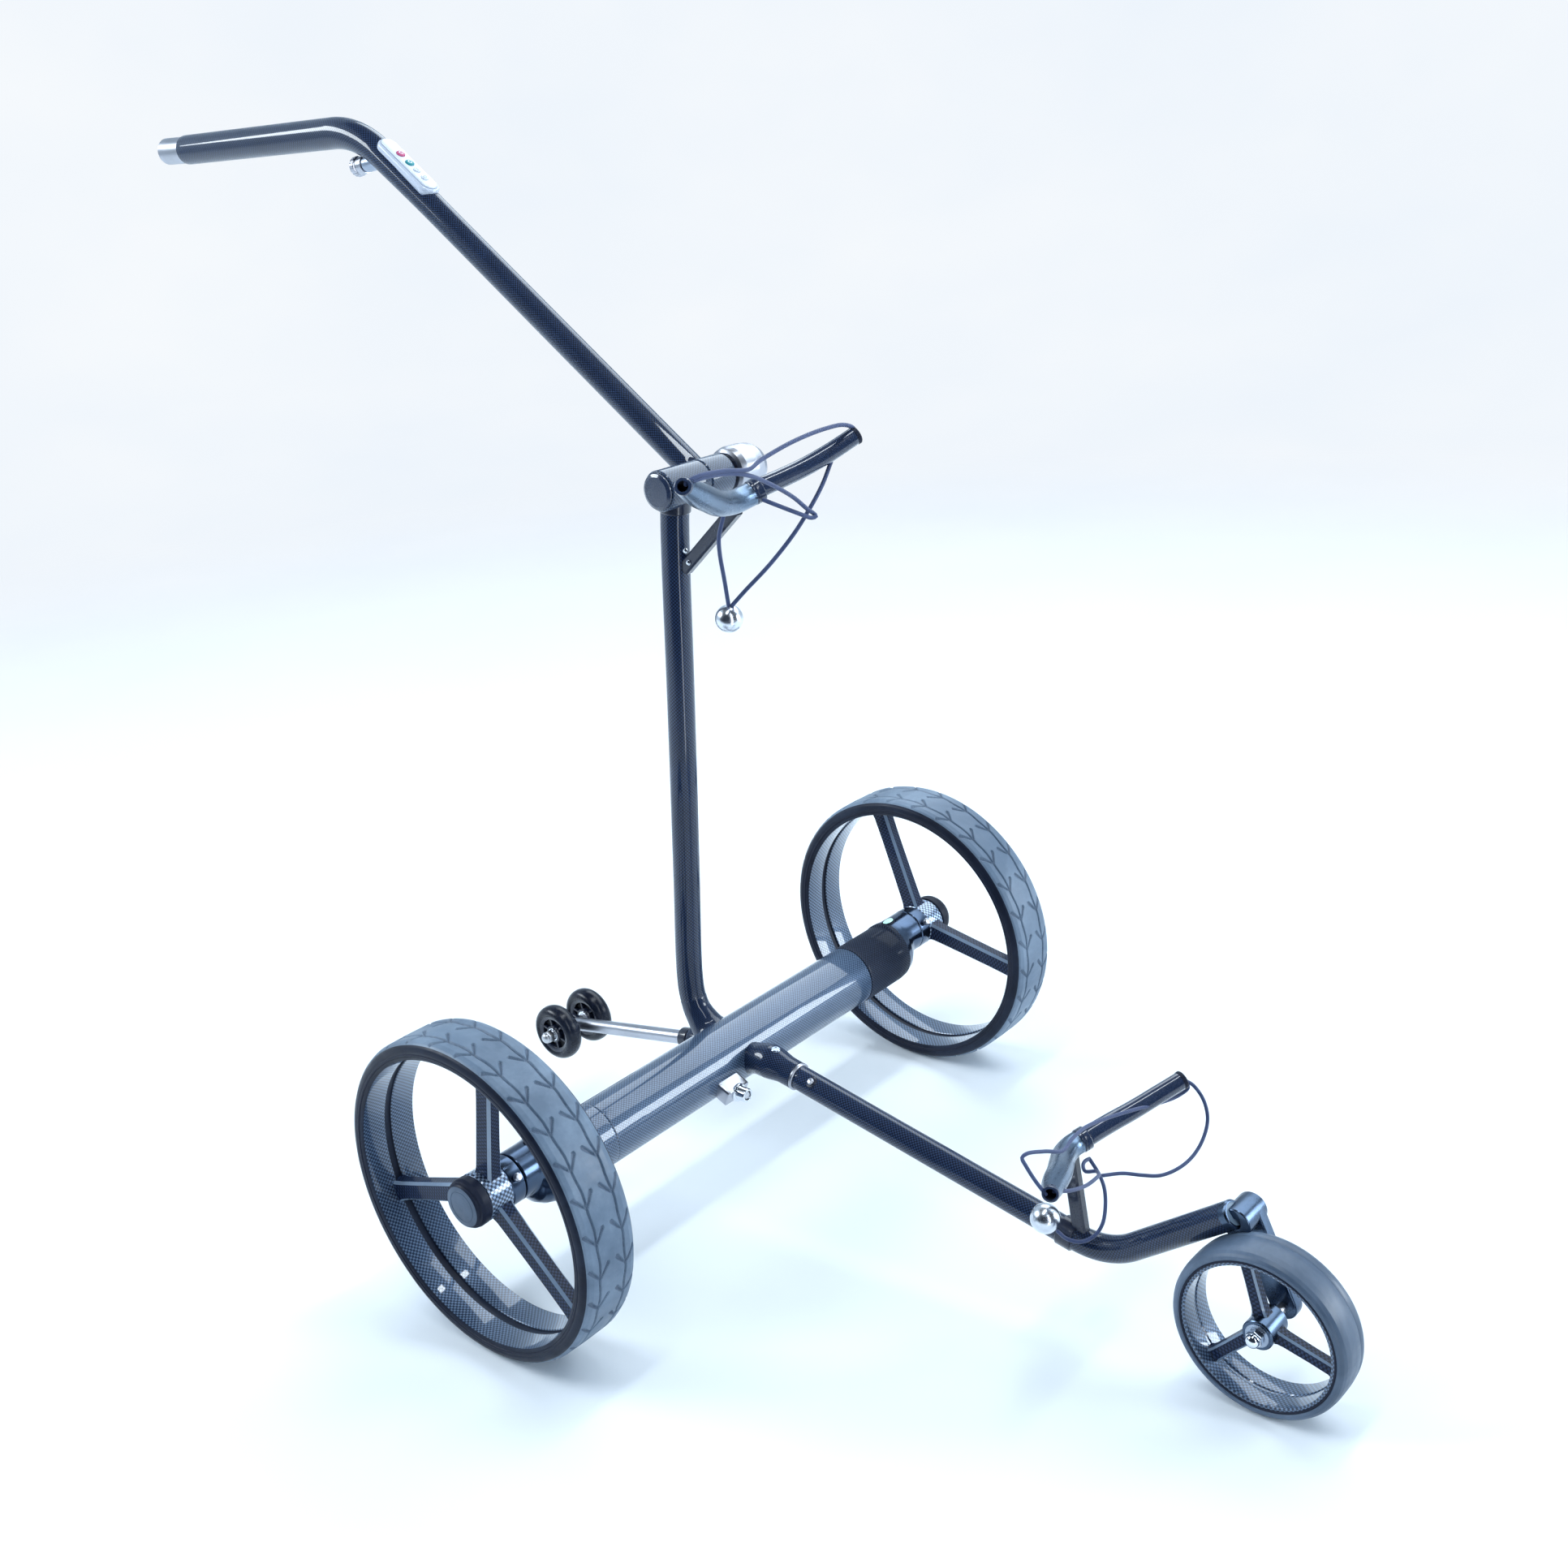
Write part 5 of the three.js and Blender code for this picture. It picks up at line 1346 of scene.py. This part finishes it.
lathe("thumb_lug", [(0, 0), (7.4, 0), (7.4, 26.4), (6.8, 27.1), (0, 27.1)],
      ("handle", "dark_satin", "handle_tube"), "silver_dark", at=on_knob(372),
      along=KNOB_DIRECTION, sides=48, corner=0.4)
lathe("thumb_grip",
      [(0, 0), (8.2, 0), (8.2, 7.6), (7.4, 8.3, 0.3), (7.4, 9.2, 0.3), (9.0, 10.0, 0.6),
       (9.0, 15.0), (7.8, 16.8, 0.8), (0, 17.0)],
      ("thumb", "silver", "thumb_knob"), "silver", at=on_knob(THUMB_Y), along=KNOB_DIRECTION,
      sides=48, corner=0.4)
_, knob_side, knob_up = axes(KNOB_DIRECTION)
for k in range(16):
    turn = 2 * pi * k / 16
    lathe(f"thumb_ridge_{k + 1}", [(0, 10.4), (0.7, 10.4), (0.7, 14.8), (0, 14.8)],
          ("thumb", "silver"), "silver",
          at=on_knob(THUMB_Y) + (knob_side * cos(turn) + knob_up * sin(turn)) * 8.75,
          along=KNOB_DIRECTION, sides=8, corner=0.2, steps=2)
lathe("dial_grip",
      [(0, 0), (12.9, 0, 0.4), (13.2, 1.0, 0.4), (13.2, 36.6, 0.4), (12.2, 38.4, 0.4),
       (10.6, 38.8, 0.3), (0, 38.9)],
      ("dial", "silver", "speed_dial"), "silver", at=DIAL_AT, along=(0, 1, 0), sides=96)
lathe("dial_collar", [(12.0, -2.6), (13.9, -2.6), (13.9, -0.4), (12.0, -0.4)],
      ("handle", "carbon", "handle_tube"), "silver_dark", at=DIAL_AT, along=(0, 1, 0),
      sides=96, corner=0.3, loop=True)

# =====================================================================
# cords, each a run of (x, y, z)
# =====================================================================
UPPER_CORDS = [
    [(-100, -111.7, 701.8), (-90, -114.6, 705), (-62, -115.5, 703.6), (-34, -116.7, 699.5),
     (-14, -112.8, 702.9), (26, -113.2, 710.1), (68, -112.5, 712.8), (92, -112.6, 711.5),
     (104, -112.8, 706.4), (106, -113.5, 700)],
    [(-100, -111.6, 700.6), (-90, -114.3, 702.5), (-62, -115.2, 701.1), (-38, -116.5, 695.9),
     (-10, -112.4, 684.3), (26, -108.6, 664.2), (42, -109.3, 650.9), (48, -110.4, 646.2),
     (48, -112.3, 644.3), (44, -110.9, 643.7), (36, -108.8, 647.5), (16, -99.4, 659.1),
     (8, -92.1, 664.7)],
    [(108, -110.2, 702.1), (104, -104.6, 699.3), (96, -102.7, 693.8), (88, -102.3, 686.1),
     (66, -106.5, 666.6), (50, -104.3, 649.5), (36, -96.7, 630.4), (18, -83.4, 607.5),
     (6, -64.9, 586.6), (1, -53.4, 574.1)],
    [(-1, -50.6, 574.3), (-6, -53.4, 596.6), (-12, -56.5, 621.6), (-14, -59.2, 635.7),
     (-13, -64.7, 652), (-12, -67.4, 659.9)]]
LOWER_CORDS = [
    [(-99, -413.8, 182.7), (-102, -407.1, 193.4), (-104, -400.5, 205.1),
     (-102, -395.7, 209.7), (-98, -396.8, 211.3), (-78, -400.2, 204.2), (-58, -403.1, 195),
     (-36, -398.6, 193.2), (-12, -395.6, 189.8), (18, -397.8, 183.7), (46, -403.5, 178.2),
     (76, -412.1, 172.8), (98, -417, 170.4), (108, -420.2, 173.9), (108, -417.9, 180.1)],
    [(104, -419.4, 182.5), (108, -424.7, 177.6), (108, -433.9, 167.3), (104, -440.2, 153.8),
     (94, -442.3, 141.8), (78, -441.7, 132.4), (60, -437.9, 128.2), (44, -429.8, 126.9),
     (32, -419.6, 130.1), (20, -409.5, 134.7), (4, -400.1, 138)],
    [(8, -385.7, 146.5), (2, -397.9, 140.1), (-6, -407.8, 134), (-14, -413.3, 123.1),
     (-22, -415.3, 112.8), (-30, -413.2, 105.9), (-38, -405.9, 101.6), (-46, -397.3, 105.6),
     (-52, -392.7, 114.3)],
    [(-92, -416.7, 182.3), (-70, -417.5, 171.3), (-46, -415.7, 161.6), (-28, -412.9, 156.6),
     (-14, -408, 151.7), (-8, -401.3, 149.1), (-12, -394.6, 148.4), (-7, -389, 148.9),
     (1, -386, 148.2), (8, -385.7, 146.5)]]

for tag, body, radius, cords in (("upper", "frame", 1.8, UPPER_CORDS),
                                 ("lower", "front_arm", 1.55, LOWER_CORDS)):
    for k, points in enumerate(cords):
        sweep(f"cord_{tag}_{k + 1}", curve(points), radius, (body, "cord", tag + "_cord"),
              "cord", sides=16, ends=("round", "round"))

# =====================================================================
# looks of the CAD nodes themselves
# =====================================================================
CAD_LOOKS = {"battery_pack": "battery_wrap", "motor_controller": "board"}
for name in ("left_motor", "right_motor", "hinge_pin", "left_axle_shaft", "right_axle_shaft",
             "left_pinion", "right_pinion"):
    CAD_LOOKS[name] = "steel"
for name, node in cad_nodes.items():
    node.data.materials.clear()
    node.data.materials.append(MATERIALS[CAD_LOOKS.get(name, "dark_satin")])

# =====================================================================
# stage, in metres
# =====================================================================
FLOOR_RADIUS = 3.0
BOWL_RADIUS = 3.2
WALL_TOP = 9.0
FLOOR_DROP = 0.0006


def stage_material():
    m = Shader("stage_white")
    m.surface({
        "Base Color": m.mix(m.noise(scale=2.2), (0.79, 0.84, 0.885), (0.84, 0.875, 0.905)),
        "Roughness": 0.8,
        "Specular IOR Level": 0.15})
    x, y = m.split(m.node("ShaderNodeNewGeometry").outputs["Position"])
    rays = m.node("ShaderNodeLightPath").outputs
    toward_x, toward_y = -0.742, -0.670   # level direction toward the camera

    # In reflections the camera's side of the room is dark.
    near = m.calc("ADD", m.calc("MULTIPLY", x, toward_x), m.calc("MULTIPLY", y, toward_y))
    dark = m.calc("MULTIPLY", rays["Is Glossy Ray"], m.remap(near, (0.72, 1.25), (0.0, 0.97)))
    black = m.node("ShaderNodeBsdfDiffuse")
    m.feed((0.015, 0.02, 0.035), black.inputs[0])
    principled = m.tree.nodes["Principled BSDF"]
    room = m.blend(dark, principled.outputs[0], black.outputs[0])

    # A narrow bright strip to the camera's right, seen only in reflections.
    right = m.calc("ADD", m.calc("MULTIPLY", x, -toward_y), m.calc("MULTIPLY", y, toward_x))
    strip_slope, strip_half, strip_start = 0.46, 0.085, 0.72
    slope = m.calc("DIVIDE", right, m.calc("MAXIMUM", near, 0.02))
    off = m.calc("ABSOLUTE", m.calc("SUBTRACT", slope, strip_slope))
    strip = m.calc("MULTIPLY", m.calc("LESS_THAN", off, strip_half),
                   m.calc("GREATER_THAN", near, strip_start))
    strip = m.calc("MULTIPLY", strip, rays["Is Glossy Ray"])
    glow = m.node("ShaderNodeEmission")
    m.feed((0.86, 0.93, 1.0), glow.inputs["Color"])
    m.feed(6.5, glow.inputs["Strength"])
    room = m.blend(strip, room, glow.outputs[0])

    # Seen directly, the wall is an even pale sheet.
    distance = m.calc("SQRT", m.calc("ADD", m.calc("MULTIPLY", x, x),
                                     m.calc("MULTIPLY", y, y)))
    wall = m.calc("MULTIPLY", rays["Is Camera Ray"], m.remap(distance, (1.2, 3.4), (0.0, 1.0)))
    clouds = m.node("ShaderNodeValToRGB")
    m.feed(m.noise(scale=0.55, detail=4, rough=0.6), clouds.inputs[0])
    for element, position in zip(clouds.color_ramp.elements, (0.3, 0.7)):
        element.position = position
    sheet = m.node("ShaderNodeEmission")
    m.feed(m.mix(clouds.outputs[0], (0.845, 0.905, 0.975), (0.925, 0.955, 0.985)),
           sheet.inputs["Color"])
    m.feed(m.blend(wall, room, sheet.outputs[0]),
           m.tree.nodes["Material Output"].inputs[0])


def stage_bowl():
    """Flat floor that curves up into a round wall."""
    rise = np.linspace(0.08, pi / 2, 22)
    radii = np.concatenate([[0.01], np.linspace(0.5, FLOOR_RADIUS, 8),
                            FLOOR_RADIUS + BOWL_RADIUS * np.sin(rise)])
    heights = np.concatenate([np.zeros(9), BOWL_RADIUS * (1 - np.cos(rise))])
    radii = np.append(radii, radii[-1] + 0.01)
    heights = np.append(heights, WALL_TOP)
    sides = 96
    verts = [(radius * cos(2 * pi * k / sides), radius * sin(2 * pi * k / sides),
              height - FLOOR_DROP)
             for radius, height in zip(radii, heights) for k in range(sides)]
    faces = quads(len(radii) - 1, len(radii), sides) + [tuple(range(sides))[::-1]]
    mesh = bpy.data.meshes.new("stage_floor")
    mesh.from_pydata(verts, [], faces)
    mesh.polygons.foreach_set("use_smooth", [True] * len(mesh.polygons))
    bowl = bpy.data.objects.new("stage_floor", mesh)
    bpy.context.scene.collection.objects.link(bowl)
    stage_material()
    mesh.materials.append(MATERIALS["stage_white"])


stage_bowl()

# =====================================================================
# lights, world and camera, in metres
# =====================================================================
COOL, COOL_PALE = (0.84, 0.93, 1.0), (0.86, 0.94, 1.0)
# name, place, point aimed at, size, power in watts, colour
LIGHTS = [
    ("key_top", (2.1, 0.1, 2.5), (0, 0, 0.2), (4.2, 1.5), 66, COOL),
    ("strip_grip", (-1.9, 2.6, 2.3), (0, 0.5, 0.95), (1.9, 1.0), 84, COOL_PALE),
    ("window_front", (2.3, -3.1, 1.1), (0, 0, 0.3), (1.5, 1.4), 78, COOL),
    ("ceiling_tube", (-0.3, -0.45, 3.0), (-0.3, -0.45, 0), (2.8, 0.24), 36, COOL_PALE)]
WORLD_COLOR = (0.80, 0.90, 1.0, 1)
WORLD_STRENGTH, WORLD_GLOSSY_STRENGTH = 0.60, 0.10
CAMERA_PLACE = (-1.07090, -1.06225, 0.96247)
CAMERA_AZIMUTH, CAMERA_ELEVATION, CAMERA_ROLL = -47.9189, 20.5694, -4.8303   # degrees


def area_light(name, place, target, size, power, color):
    light = bpy.data.lights.new(name, "AREA")
    light.shape = "RECTANGLE"
    light.size, light.size_y = size
    light.energy = power
    light.color = color
    lamp = bpy.data.objects.new(name, light)
    bpy.context.scene.collection.objects.link(lamp)
    lamp.location = place
    aim = Vector(target) - Vector(place)
    lamp.rotation_euler = aim.to_track_quat("-Z", "Y").to_euler()


def studio_world():
    """Even sky, dimmer in reflections."""
    world = bpy.data.worlds.new("studio")
    bpy.context.scene.world = world
    world.use_nodes = True
    tree = world.node_tree
    background = tree.nodes["Background"]
    background.inputs["Color"].default_value = WORLD_COLOR
    rays = tree.nodes.new("ShaderNodeLightPath")
    strength = tree.nodes.new("ShaderNodeMapRange")
    tree.links.new(rays.outputs["Is Glossy Ray"], strength.inputs[0])
    strength.inputs[3].default_value = WORLD_STRENGTH
    strength.inputs[4].default_value = WORLD_GLOSSY_STRENGTH
    tree.links.new(strength.outputs[0], background.inputs["Strength"])


def photo_camera():
    azimuth, elevation, roll = (radians(angle) for angle in
                                (CAMERA_AZIMUTH, CAMERA_ELEVATION, CAMERA_ROLL))
    back = Vector((sin(azimuth) * cos(elevation), -cos(azimuth) * cos(elevation),
                   sin(elevation)))
    level = (-back).cross(Vector((0, 0, 1))).normalized()
    upright = level.cross(-back)
    right = cos(roll) * level + sin(roll) * upright
    up = -sin(roll) * level + cos(roll) * upright
    lens = bpy.data.cameras.new("photo_camera")
    lens.lens = 41.406
    lens.sensor_width = 36
    lens.sensor_fit = "HORIZONTAL"
    lens.clip_end = 60
    camera = bpy.data.objects.new("photo_camera", lens)
    bpy.context.scene.collection.objects.link(camera)
    rows = [(right[k], up[k], back[k], CAMERA_PLACE[k]) for k in range(3)]
    camera.matrix_world = Matrix((*rows, (0, 0, 0, 1)))
    bpy.context.scene.camera = camera


for light in LIGHTS:
    area_light(*light)
studio_world()
photo_camera()
bpy.context.scene.view_settings.view_transform = "Standard"

bpy.context.view_layer.update()
